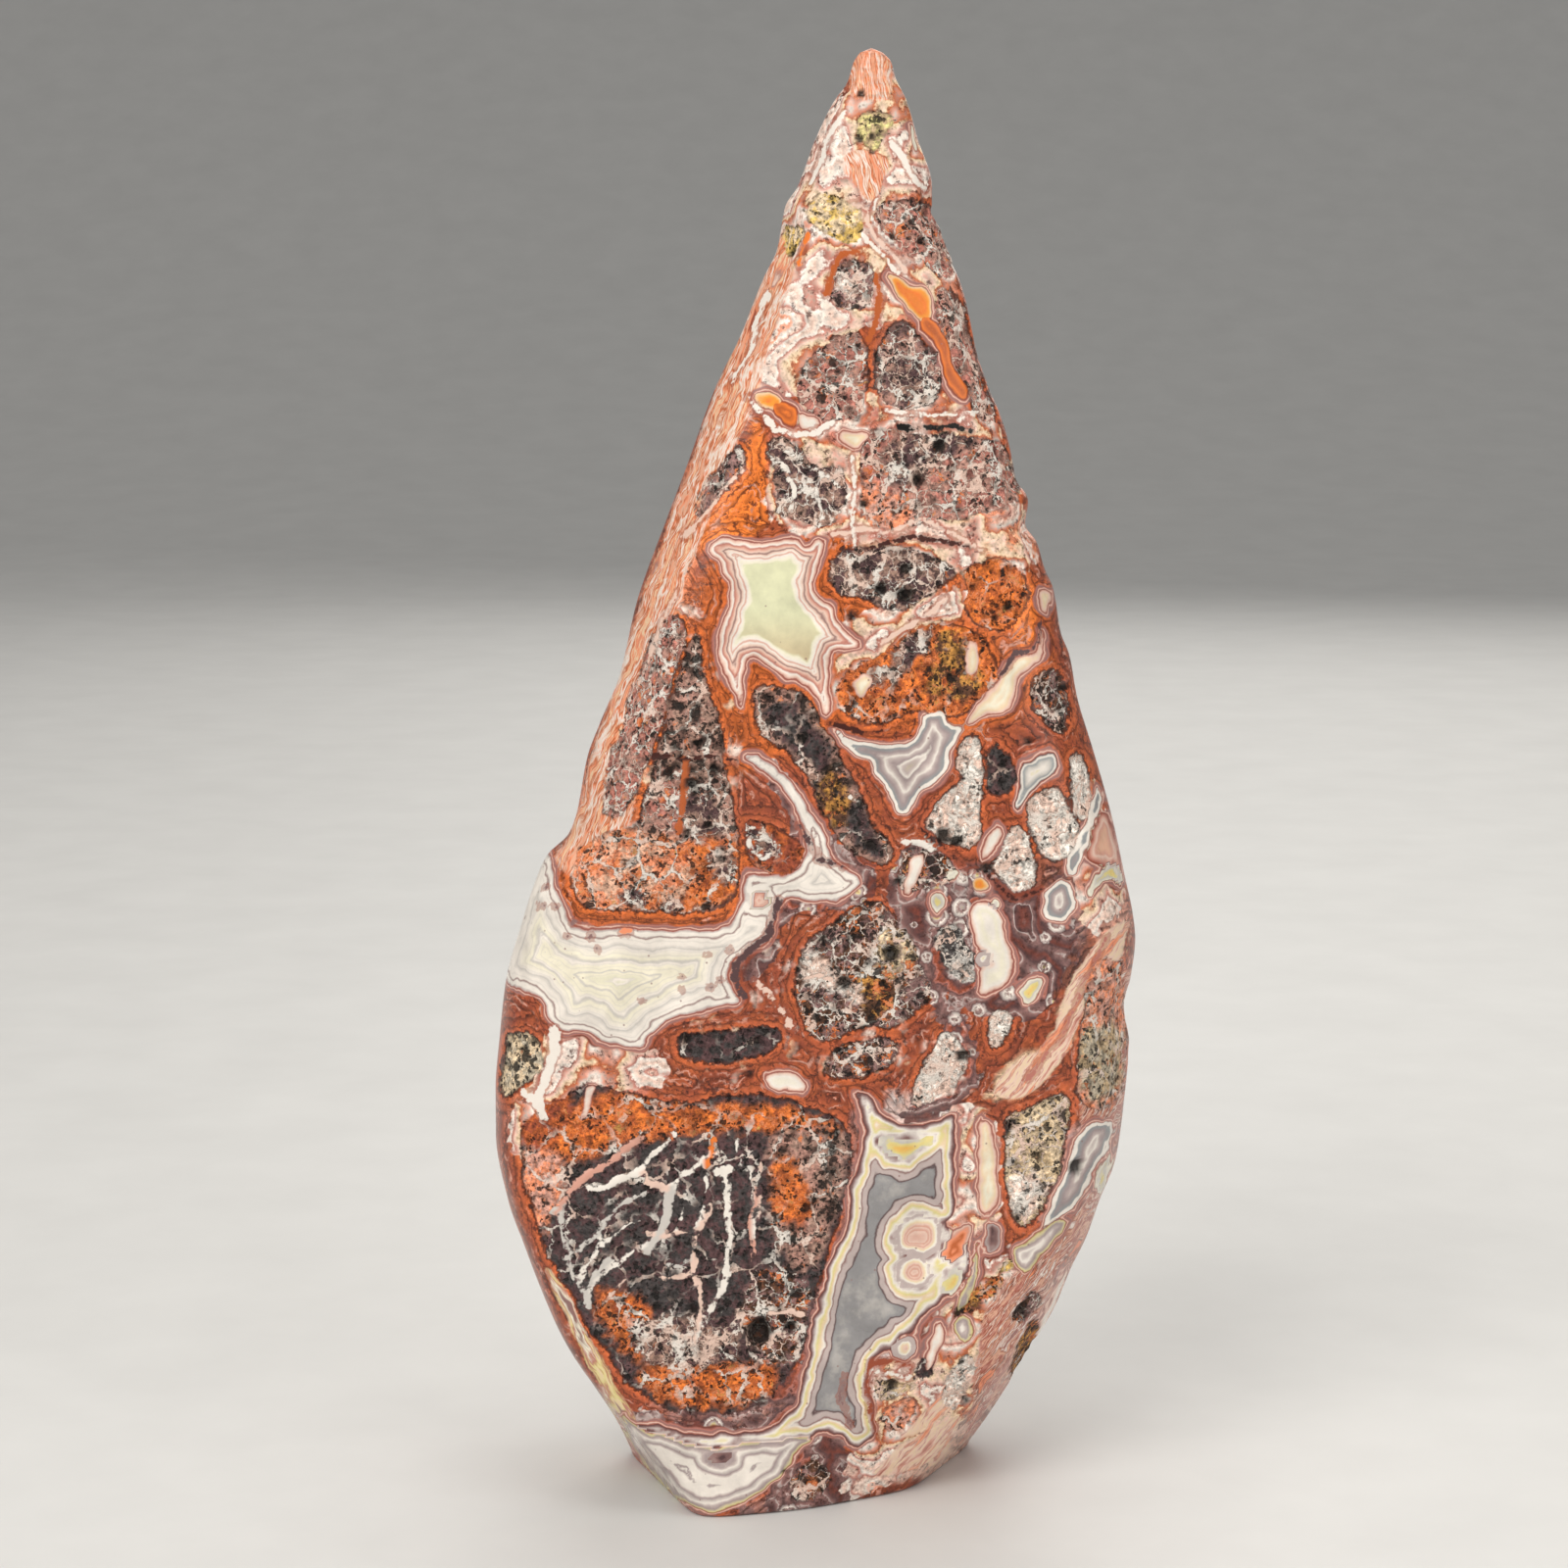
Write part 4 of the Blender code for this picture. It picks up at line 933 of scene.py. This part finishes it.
def stone_mesh():
    """The fine mesh of the stone, with its pattern stored on the vertices."""
    grid = smooth_grid()
    rings, steps = grid.shape[:2]
    normals = grid_normals(grid).reshape(grid.shape)
    share = traced_share(grid, normals)
    normals, points = normals.reshape(-1, 3), grid.reshape(-1, 3)
    pattern = join(front_pattern(points), back_pattern(points), share)
    depth, bubble = worn_depth(points, pattern)
    lift = soft((points[:, 2] - FOOT_BEVEL) / 4) * soft((HEIGHT - points[:, 2]) / 2)
    worn = points - normals * (depth * lift)[:, None]
    centre = worn[:steps].mean(axis=0)
    vertices = np.concatenate([worn, [APEX], [(centre[0], centre[1], 0.0)]])
    low, high = vertices.min(axis=0), vertices.max(axis=0)
    cad_low, cad_high = np.array(CAD_BOX[0]) / MM, np.array(CAD_BOX[1]) / MM
    vertices = cad_low + (vertices - low) * (cad_high - cad_low) / (high - low)
    index = np.arange(rings * steps).reshape(rings, steps)
    beside = np.roll(index, -1, axis=1)
    quads = np.stack([index[:-1], beside[:-1], beside[1:], index[1:]], -1).reshape(-1, 4)
    tip, foot = rings * steps, rings * steps + 1
    caps = [(a, b, tip) for a, b in zip(index[-1], beside[-1])]
    caps += [(b, a, foot) for a, b in zip(index[0], beside[0])]
    mesh = bpy.data.meshes.new("agate_flame_stone")
    mesh.from_pydata(vertices * MM, [], quads.tolist() + [tuple(map(int, cap)) for cap in caps])
    mesh.shade_smooth()
    # Painted shade: a mask over burst bubbles and open holes, which the material paints black as the shade
    # inside these hollows; it is stored as "hole".
    pit_shade = np.clip(bubble * 1.4 + pattern.hole / 3, 0, 1)
    numbers = {
        "edge": pattern.edge, "pocket": pattern.pocket, "kind": pattern.kind, "vein": pattern.vein,
        "hole": pit_shade,
    }
    for name, values in numbers.items():
        store = mesh.attributes.new(name, "FLOAT", "POINT")
        store.data.foreach_set("value", np.append(values, [values[-1], values[0]]).astype(np.float32))
    colours = {
        "vein_tone": pattern.vein_tone, "rock_a": pattern.rock_a, "rock_b": pattern.rock_b,
        "rock_trait": pattern.rock_trait, "tint": pattern.tint, "flow": pattern.flow, "swirl": pattern.swirl,
        "streak": pattern.streak[:, :3], "silk": np.tile(pattern.streak[:, 3:], 3),
    }
    for name, values in colours.items():
        store = mesh.attributes.new(name, "FLOAT_VECTOR", "POINT")
        filled = np.concatenate([values, values[-1:], values[:1]]).astype(np.float32)
        store.data.foreach_set("vector", filled.ravel())
    return mesh


class Graph:
    """Short ways to add nodes to a material."""

    def __init__(self, material):
        material.use_nodes = True
        self.tree = material.node_tree
        self.shader = self.tree.nodes["Principled BSDF"]

    def put(self, socket, value):
        if isinstance(value, bpy.types.NodeSocket):
            self.tree.links.new(value, socket)
        elif isinstance(value, str):
            socket.default_value = (*TONE[value], 1)
        else:
            socket.default_value = value

    def math(self, operation, *values):
        node = self.tree.nodes.new("ShaderNodeMath")
        node.operation = operation
        for socket, value in zip(node.inputs, values):
            self.put(socket, value)
        return node.outputs[0]

    def times(self, first, second):
        return self.math("MULTIPLY", first, second)

    def plus(self, first, second):
        return self.math("ADD", first, second)

    def minus(self, first, second):
        return self.math("SUBTRACT", first, second)

    def step(self, value, start, end):
        """0 where value is at start, 1 where it is at end, smooth between."""
        node = self.tree.nodes.new("ShaderNodeMapRange")
        node.interpolation_type = "SMOOTHSTEP"
        for socket, number in zip(node.inputs, (value, start, end)):
            self.put(socket, number)
        return node.outputs[0]

    def mix(self, share, first, second, blend="MIX"):
        node = self.tree.nodes.new("ShaderNodeMix")
        node.data_type = "RGBA"
        node.blend_type = blend
        self.put(node.inputs[0], share)
        self.put(node.inputs[6], first)
        self.put(node.inputs[7], second)
        return node.outputs[2]

    def ramp(self, value, stops):
        node = self.tree.nodes.new("ShaderNodeValToRGB")
        elements = node.color_ramp.elements
        while len(elements) < len(stops):
            elements.new(1.0)
        for element, (place, tone) in zip(elements, stops):
            element.position = place
            element.color = (*TONE[tone], 1) if isinstance(tone, str) else (tone, tone, tone, 1)
        self.put(node.inputs[0], value)
        return node.outputs[0]

    def read(self, name, output="Fac"):
        node = self.tree.nodes.new("ShaderNodeAttribute")
        node.attribute_name = name
        return node.outputs[output]

    def parts(self, vector):
        node = self.tree.nodes.new("ShaderNodeSeparateXYZ")
        self.put(node.inputs[0], vector)
        return node.outputs

    def vector(self, operation, first, second=None, scale=None):
        node = self.tree.nodes.new("ShaderNodeVectorMath")
        node.operation = operation
        self.put(node.inputs[0], first)
        if second is not None:
            self.put(node.inputs[1], second)
        if scale is not None:
            self.put(node.inputs["Scale"], scale)
        return node.outputs[0]

    def noise(self, at, scale, detail=2.0, rough=0.55, output=0):
        node = self.tree.nodes.new("ShaderNodeTexNoise")
        self.put(node.inputs["Vector"], at)
        node.inputs["Scale"].default_value = scale
        node.inputs["Detail"].default_value = detail
        node.inputs["Roughness"].default_value = rough
        return node.outputs[output]

    def cells(self, at, scale, feature="F1", output="Distance"):
        node = self.tree.nodes.new("ShaderNodeTexVoronoi")
        node.feature = feature
        self.put(node.inputs["Vector"], at)
        node.inputs["Scale"].default_value = scale
        return node.outputs[output]


def agate_material():
    material = bpy.data.materials.new("polished_breccia_agate")
    g = Graph(material)
    place = g.tree.nodes.new("ShaderNodeTexCoord").outputs["Object"]
    at = g.vector("SCALE", place, scale=1 / MM)

    # Two noises bend every traced distance, so that no outline stays ruled.
    slow = g.minus(g.noise(at, 0.33, 2), 0.5)
    fine = g.minus(g.noise(at, 1.5, 3, 0.6), 0.5)
    bend = g.plus(g.times(slow, 9.0), g.times(fine, 9.0))
    edge = g.plus(g.read("edge"), bend)
    lumps = g.cells(at, 0.55, "SMOOTH_F1")
    pocket = g.plus(g.read("pocket"), g.times(slow, 4.0))
    pocket = g.plus(pocket, g.times(g.minus(lumps, 0.45), 5.0))
    pocket = g.plus(pocket, g.times(fine, 1.5))

    ground = agate_ground(g, at, edge, pocket, slow, fine)
    rock, relief = lava_rock(g, at, fine)
    in_rock = g.step(edge, 1.2, -1.2)
    in_pocket = g.step(pocket, -0.8, 0.8)
    colour = g.mix(in_rock, ground, rock)
    # Painted shade: a broken dark maroon line along the edge where the sunken rock meets the agate, standing
    # in for the shade of that step.
    near_edge = g.step(g.math("ABSOLUTE", edge), 2.0, 0.4)
    ledge_shade = g.times(near_edge, g.step(g.noise(at, 0.3, 3), 0.46, 0.6))
    colour = g.mix(g.times(ledge_shade, 0.65), colour, "maroon")
    colour = g.mix(in_pocket, colour, pocket_bands(g, at, pocket))
    swell = g.times(g.minus(g.noise(at, 0.55, 2), 0.5), 8.0)
    vein = g.plus(g.plus(g.read("vein"), swell), g.times(fine, 7.0))
    in_vein = g.step(vein, 0.8, -0.8)
    vein_rim = g.step(g.math("ABSOLUTE", g.minus(vein, 1.5)), 2.0, 0.8)
    vein_rim = g.times(vein_rim, g.minus(1.0, in_rock))
    colour = g.mix(g.times(vein_rim, 0.5), colour, "brick")
    colour = g.mix(in_vein, colour, g.read("vein_tone", "Color"))
    # Painted shade: burst bubbles and open holes, read from "hole", are painted black as the shade inside
    # them.
    colour = g.mix(g.times(g.read("hole"), 0.92), colour, "black")
    g.put(g.shader.inputs["Base Color"], colour)

    polished = g.math("MAXIMUM", in_pocket, in_vein)
    matt = g.times(in_rock, g.minus(1.0, polished))
    smear = g.math("MULTIPLY_ADD", g.noise(at, 0.12, 3), 0.16, 0.2)
    g.put(g.shader.inputs["Roughness"], g.math("MULTIPLY_ADD", matt, 0.38, smear))
    bump = g.tree.nodes.new("ShaderNodeBump")
    bump.inputs["Distance"].default_value = 0.6 * MM
    bump.inputs["Strength"].default_value = 1.0
    polish_relief = g.times(g.plus(slow, fine), 0.08)
    g.put(bump.inputs["Height"], g.plus(g.times(relief, matt), polish_relief))
    g.put(g.shader.inputs["Normal"], bump.outputs[0])
    g.shader.inputs["Specular IOR Level"].default_value = 0.3
    g.shader.inputs["IOR"].default_value = 1.54
    return material


def agate_ground(g, at, edge, pocket, slow, fine):
    """Rust to rose agate between the fragments, banded parallel to whatever is nearest."""
    tint = g.read("tint", "Color")
    cloud = g.step(g.noise(at, 0.3, 5, 0.7), 0.42, 0.6)
    tint = g.mix(g.times(cloud, 0.4), tint, g.mix(0.4, tint, "orange"))
    from_pocket = g.times(pocket, -1.0)
    plain = g.minus(1.0, g.parts(g.read("swirl", "Vector"))[0])
    rim = g.times(g.step(edge, 14.0, 6.0), g.times(plain, 0.5))
    tint = g.mix(rim, tint, g.mix(0.45, tint, "rust"))
    reach = g.math("MINIMUM", edge, from_pocket)
    band = g.ramp(g.math("DIVIDE", reach, 50.0), [
        (0.0, 0.15), (0.035, 0.4), (0.06, 1.35), (0.13, 1.2), (0.16, 0.4), (0.2, 1.1), (0.3, 0.8),
        (0.34, 0.3), (0.37, 1.15), (0.5, 0.75), (0.54, 1.25), (0.58, 0.45), (0.7, 1.15), (0.76, 0.5),
        (0.85, 1.0), (1.0, 0.8),
    ])
    colour = g.mix(1.0, tint, band, "MULTIPLY")
    line = g.math("FRACT", g.plus(g.math("DIVIDE", reach, 9.0), g.times(slow, 2.5)))
    pale_line = g.step(g.math("ABSOLUTE", g.minus(line, 0.5)), 0.2, 0.05)
    pale_line = g.times(pale_line, g.step(reach, 4.0, 8.0))
    patchy = g.step(g.noise(at, 0.28, 3), 0.5, 0.6)
    colour = g.mix(g.times(g.times(pale_line, patchy), 0.7), colour, "pink")
    dark_line = g.step(g.math("ABSOLUTE", g.minus(line, 0.06)), 0.07, 0.02)
    colour = g.mix(g.times(dark_line, 0.6), colour, "maroon")
    colour = swirled(g, colour, at, reach, slow, fine)
    grain = g.math("MULTIPLY_ADD", fine, 2.0, 1.0)
    colour = g.mix(1.0, colour, g.ramp(g.times(grain, 0.5), [(0.0, 0.0), (1.0, 2.0)]), "MULTIPLY")
    crevice = g.times(g.step(g.noise(at, 0.85, 5, 0.75), 0.56, 0.63), g.step(reach, 1.0, 4.0))
    colour = g.mix(g.times(crevice, 0.8), colour, "maroon")
    colour = streaked(g, colour, fine)
    wall = g.ramp(g.math("DIVIDE", from_pocket, 9.0), [
        (0.0, "wine"), (0.12, "rose"), (0.2, "blush"), (0.28, "rose"), (0.42, "mauve"), (0.55, "rose"),
        (0.75, "wine"), (1.0, "brick"),
    ])
    width = g.math("MULTIPLY_ADD", g.noise(at, 0.16, 2), 16.0, -3.0)
    return g.mix(g.step(g.minus(width, from_pocket), -1.0, 1.5), colour, wall)


def swirled(g, colour, at, reach, slow, fine):
    """Thin many-coloured bands that wander through the widest stretches of agate, dark or pale."""
    wander = g.times(g.noise(at, 0.15, 2, 0.45), 1.3)
    folds = g.plus(wander, g.math("DIVIDE", reach, 85.0))
    folds = g.math("FRACT", g.plus(folds, g.times(fine, 0.06)))
    dark = g.ramp(folds, [
        (0.0, "plum"), (0.1, "mauve"), (0.12, "lilac"), (0.14, "plum"), (0.27, "wine"), (0.33, "mauve"),
        (0.35, "blush"), (0.37, "mauve"), (0.46, "plum"), (0.55, "brick"), (0.58, "rose"), (0.61, "plum"),
        (0.7, "mauve"), (0.72, "lilac"), (0.75, "mauve"), (0.82, "plum"), (0.93, "wine"), (1.0, "plum"),
    ])
    size = g.plus(g.parts(g.cells(at, 0.3, output="Color"))[0], 0.5)
    ring = g.math("DIVIDE", g.plus(g.cells(at, 0.3), g.times(fine, 0.3)), size)
    eyes = g.ramp(ring, [
        (0.0, "rose"), (0.08, "lemon"), (0.13, "lilac"), (0.19, "mauve"), (0.24, "white"), (0.28, "lilac"),
        (0.33, "plum"),
    ])
    dark = g.mix(g.step(ring, 0.36, 0.32), dark, eyes)
    pale = g.ramp(folds, [
        (0.0, "blush"), (0.07, "white"), (0.12, "rose"), (0.17, "blush"), (0.25, "white"), (0.3, "salmon"),
        (0.34, "white"), (0.4, "blush"), (0.45, "rose"), (0.5, "blush"), (0.57, "white"), (0.62, "pink"),
        (0.68, "rust"), (0.72, "cream"), (0.8, "blush"), (0.86, "rose"), (0.9, "white"), (1.0, "blush"),
    ])
    for share, bands in zip(g.parts(g.read("swirl", "Vector")), (dark, pale)):
        ragged = g.step(g.plus(share, g.times(slow, 0.8)), 0.38, 0.55)
        colour = g.mix(g.times(ragged, 0.92), colour, bands)
    return colour


def streaked(g, colour, fine):
    """Bands cut at a low angle: the traced zones carry long streaks along their own direction."""
    share = g.parts(g.read("streak", "Vector"))
    flow = g.vector("MULTIPLY", g.read("flow", "Vector"), (0.11, 0.012, 0.0))
    bands = g.noise(flow, 1.0, 4, 0.6)
    left = g.ramp(bands, [
        (0.3, "brick"), (0.36, "salmon"), (0.41, "peach"), (0.44, "rust"), (0.46, "salmon"),
        (0.49, "white"), (0.52, "peach"), (0.55, "rust"), (0.57, "salmon"), (0.6, "cream"),
        (0.63, "salmon"), (0.68, "heather"), (0.72, "blush"),
    ])
    right = g.ramp(bands, [
        (0.3, "brick"), (0.37, "salmon"), (0.42, "wine"), (0.45, "blush"), (0.47, "brick"), (0.5, "rose"),
        (0.53, "peach"), (0.56, "brick"), (0.59, "white"), (0.61, "rose"), (0.65, "mauve"), (0.7, "pink"),
    ])
    foot = g.ramp(bands, [
        (0.32, "mauve"), (0.42, "cream"), (0.47, "lemon"), (0.52, "rose"), (0.57, "ivory"), (0.65, "mauve"),
    ])
    silk = g.ramp(bands, [
        (0.3, "brick"), (0.36, "rose"), (0.4, "pink"), (0.44, "blush"), (0.48, "cream"), (0.52, "blush"),
        (0.55, "rose"), (0.57, "peach"), (0.62, "salmon"), (0.66, "rose"), (0.7, "blush"),
    ])
    for socket, stripes in zip((*share, g.read("silk")), (left, right, foot, silk)):
        ragged = g.step(g.plus(socket, g.times(fine, 0.8)), 0.35, 0.65)
        colour = g.mix(g.times(ragged, socket), colour, stripes)
    return colour


def lava_rock(g, at, fine):
    """Porous lava: two body tones, orange stain, a pale lace of healed cracks, and bubbles painted black as
    painted shade in their hollows.
    """
    lace, bubbles, stain = g.parts(g.read("rock_trait", "Vector"))
    shake = g.vector("SCALE", g.noise(at, 0.8, 3, output=1), scale=2.2)
    shaken = g.vector("ADD", at, shake)
    blotch = g.step(g.noise(at, 0.5, 5, 0.72), 0.45, 0.54)
    colour = g.mix(blotch, g.read("rock_a", "Color"), g.read("rock_b", "Color"))
    grain = g.math("MULTIPLY_ADD", fine, 3.6, 1.0)
    colour = g.mix(1.0, colour, g.ramp(g.times(grain, 0.5), [(0.0, 0.0), (1.0, 2.0)]), "MULTIPLY")
    stained = g.math("MULTIPLY_ADD", stain, 0.32, -0.13)
    rusty = g.step(g.plus(g.noise(shaken, 0.35, 6, 0.75), stained), 0.6, 0.64)
    stains = g.ramp(g.noise(shaken, 0.75, 6, 0.75), [
        (0.3, "lava"), (0.38, "brick"), (0.44, "rust"), (0.5, "orange"), (0.56, "salmon"), (0.62, "ochre"),
        (0.7, "yellow"),
    ])
    colour = g.mix(g.times(rusty, 0.9), colour, stains)
    wide = g.cells(shaken, 0.2, "DISTANCE_TO_EDGE")
    thin = g.cells(shaken, 0.5, "DISTANCE_TO_EDGE")
    veiny = g.plus(lace, g.minus(g.noise(at, 0.22, 3), 0.5))
    thick = g.math("MULTIPLY_ADD", g.noise(at, 0.5, 2), 0.16, -0.035)
    net = g.times(g.step(g.minus(wide, thick), 0.01, -0.015), g.step(veiny, 0.2, 0.45))
    mesh = g.times(g.step(g.minus(thin, thick), 0.01, -0.025), g.step(veiny, 0.5, 0.75))
    net = g.math("MAXIMUM", net, mesh)
    lace_tone = g.mix(g.step(g.noise(at, 0.3, 3), 0.4, 0.6), "blush", "white")
    colour = g.mix(g.times(net, 0.95), colour, lace_tone)
    crowd = g.plus(g.noise(at, 0.45, 3), g.times(bubbles, 0.3))
    radius = g.math("MULTIPLY_ADD", g.noise(at, 0.9, 3, 0.7), 1.1, -0.24)
    small = g.step(g.minus(g.cells(shaken, 1.3), radius), 0.05, -0.06)
    small = g.times(small, g.step(crowd, 0.55, 0.7))
    large = g.times(g.step(g.cells(shaken, 0.5), 0.4, 0.28), g.step(crowd, 0.7, 0.78))
    pores = g.math("MAXIMUM", small, large)
    # Painted shade: the pores are painted black, standing in for the shade inside their hollows.
    colour = g.mix(g.times(pores, 0.9), colour, "black")
    relief = g.minus(g.math("MULTIPLY_ADD", net, 0.3, fine), pores)
    return colour, relief


def pocket_bands(g, at, pocket):
    """Fortification bands, counted from the pocket's wall inwards, one set for each kind of pocket."""
    depth = g.math("DIVIDE", pocket, BAND_REACH)
    kind = g.read("kind")
    colour = None
    for number, name in enumerate(POCKET_KINDS):
        bands = g.ramp(depth, [(place / BAND_REACH, tone) for place, tone in BANDS[name]])
        colour = bands if colour is None else g.mix(g.math("GREATER_THAN", kind, number - 0.5), colour, bands)
    hair = g.math("FRACT", g.math("DIVIDE", pocket, 4.6))
    hairline = g.step(g.math("ABSOLUTE", g.minus(hair, 0.5)), 0.22, 0.05)
    ivory_only = g.math("LESS_THAN", kind, 0.5)
    colour = g.mix(g.times(g.times(hairline, ivory_only), 0.3), colour, "mist")
    star = g.math("COMPARE", kind, POCKET_KINDS.index("star"), 0.4)
    settled = g.times(g.step(g.parts(at)[2], 126.0, 118.0), g.step(pocket, 20.0, 23.0))
    colour = g.mix(g.times(g.times(settled, star), 0.75), colour, "olive")
    quartz = g.math("COMPARE", kind, POCKET_KINDS.index("quartz"), 0.4)
    wisp = g.times(g.step(g.noise(at, 0.13, 5, 0.65), 0.47, 0.62), g.step(pocket, 20.0, 25.0))
    colour = g.mix(g.times(g.times(wisp, quartz), 0.5), colour, "mist")
    cloud = g.noise(at, 0.25, 4, 0.6)
    colour = g.mix(1.0, colour, g.ramp(cloud, [(0.25, 0.78), (0.7, 1.12)]), "MULTIPLY")
    speck = g.step(g.cells(at, 0.5), 0.1, 0.05)
    return g.mix(g.times(speck, 0.7), colour, "mauve")


def stone():
    mesh = stone_mesh()
    mesh.materials.append(agate_material())
    piece = bpy.data.objects.new("agate_flame_stone", mesh)
    bpy.context.scene.collection.objects.link(piece)
    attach(piece, "root")
    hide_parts(NODE_NAME)


# The floor and the lights, in metres and watts.
FLOOR_REACH = 8.0
WALL_START = 1.2
WALL_BEND = 1.6
WALL_TOP = 2.5
BEND_STEPS = 16
LAMP_TONE = (1.0, 0.965, 0.90)
LAMPS = [
    ("key", (-0.5, -0.7, 0.75), 0.6, 7.2),
    ("fill", (0.75, -0.65, 0.35), 0.8, 3.1),
    ("top", (0.05, 0.1, 0.95), 0.7, 3.6),
    ("rear", (0.2, 0.9, 0.6), 0.8, 3.2),
]
ROOM_TONE = (1.0, 0.985, 0.95, 1)
ROOM_STRENGTH = 0.3


def sweep():
    """A pale floor that curves up behind the stone."""
    material = bpy.data.materials.new("pale_floor")
    g = Graph(material)
    place = g.tree.nodes.new("ShaderNodeTexCoord").outputs["Object"]
    g.put(g.shader.inputs["Base Color"], g.ramp(g.noise(place, 40.0, 4), [(0.3, 0.66), (0.7, 0.70)]))
    g.shader.inputs["Roughness"].default_value = 0.55
    profile = [(-FLOOR_REACH, 0.0), (WALL_START, 0.0)]
    for k in range(1, BEND_STEPS + 1):
        turn = math.radians(90 * k / BEND_STEPS)
        profile.append((WALL_START + WALL_BEND * math.sin(turn), WALL_BEND * (1 - math.cos(turn))))
    profile.append((WALL_START + WALL_BEND, WALL_TOP))
    vertices = [(x, y, z) for y, z in profile for x in (-FLOOR_REACH, FLOOR_REACH)]
    faces = [(2 * k, 2 * k + 1, 2 * k + 3, 2 * k + 2) for k in range(len(profile) - 1)]
    mesh = bpy.data.meshes.new("floor")
    mesh.from_pydata(vertices, [], faces)
    mesh.shade_smooth()
    mesh.materials.append(material)
    floor = bpy.data.objects.new("floor", mesh)
    bpy.context.scene.collection.objects.link(floor)


def camera():
    data = bpy.data.cameras.new("camera")
    data.sensor_width = SENSOR
    data.lens = FOCAL_PIXELS / PHOTO_SIZE * SENSOR
    eye = bpy.data.objects.new("camera", data)
    eye.location = Vector(CAMERA_AT + RECENTRED) * MM
    eye.rotation_euler = (math.radians(90) - CAMERA_RISE, 0, 0)
    bpy.context.scene.collection.objects.link(eye)
    bpy.context.scene.camera = eye


def lights():
    aim = Vector((0, 0, HEIGHT / 2)) * MM
    for name, at, size, power in LAMPS:
        data = bpy.data.lights.new(name, "AREA")
        data.size = size
        data.energy = power
        data.color = LAMP_TONE
        lamp = bpy.data.objects.new(name, data)
        lamp.location = at
        lamp.rotation_euler = (aim - Vector(at)).to_track_quat("-Z", "Y").to_euler()
        bpy.context.scene.collection.objects.link(lamp)
    world = bpy.data.worlds.new("studio")
    world.use_nodes = True
    background = world.node_tree.nodes["Background"]
    background.inputs["Color"].default_value = ROOM_TONE
    background.inputs["Strength"].default_value = ROOM_STRENGTH
    bpy.context.scene.world = world
    bpy.context.scene.view_settings.view_transform = "Standard"


camera()
stone()
sweep()
lights()
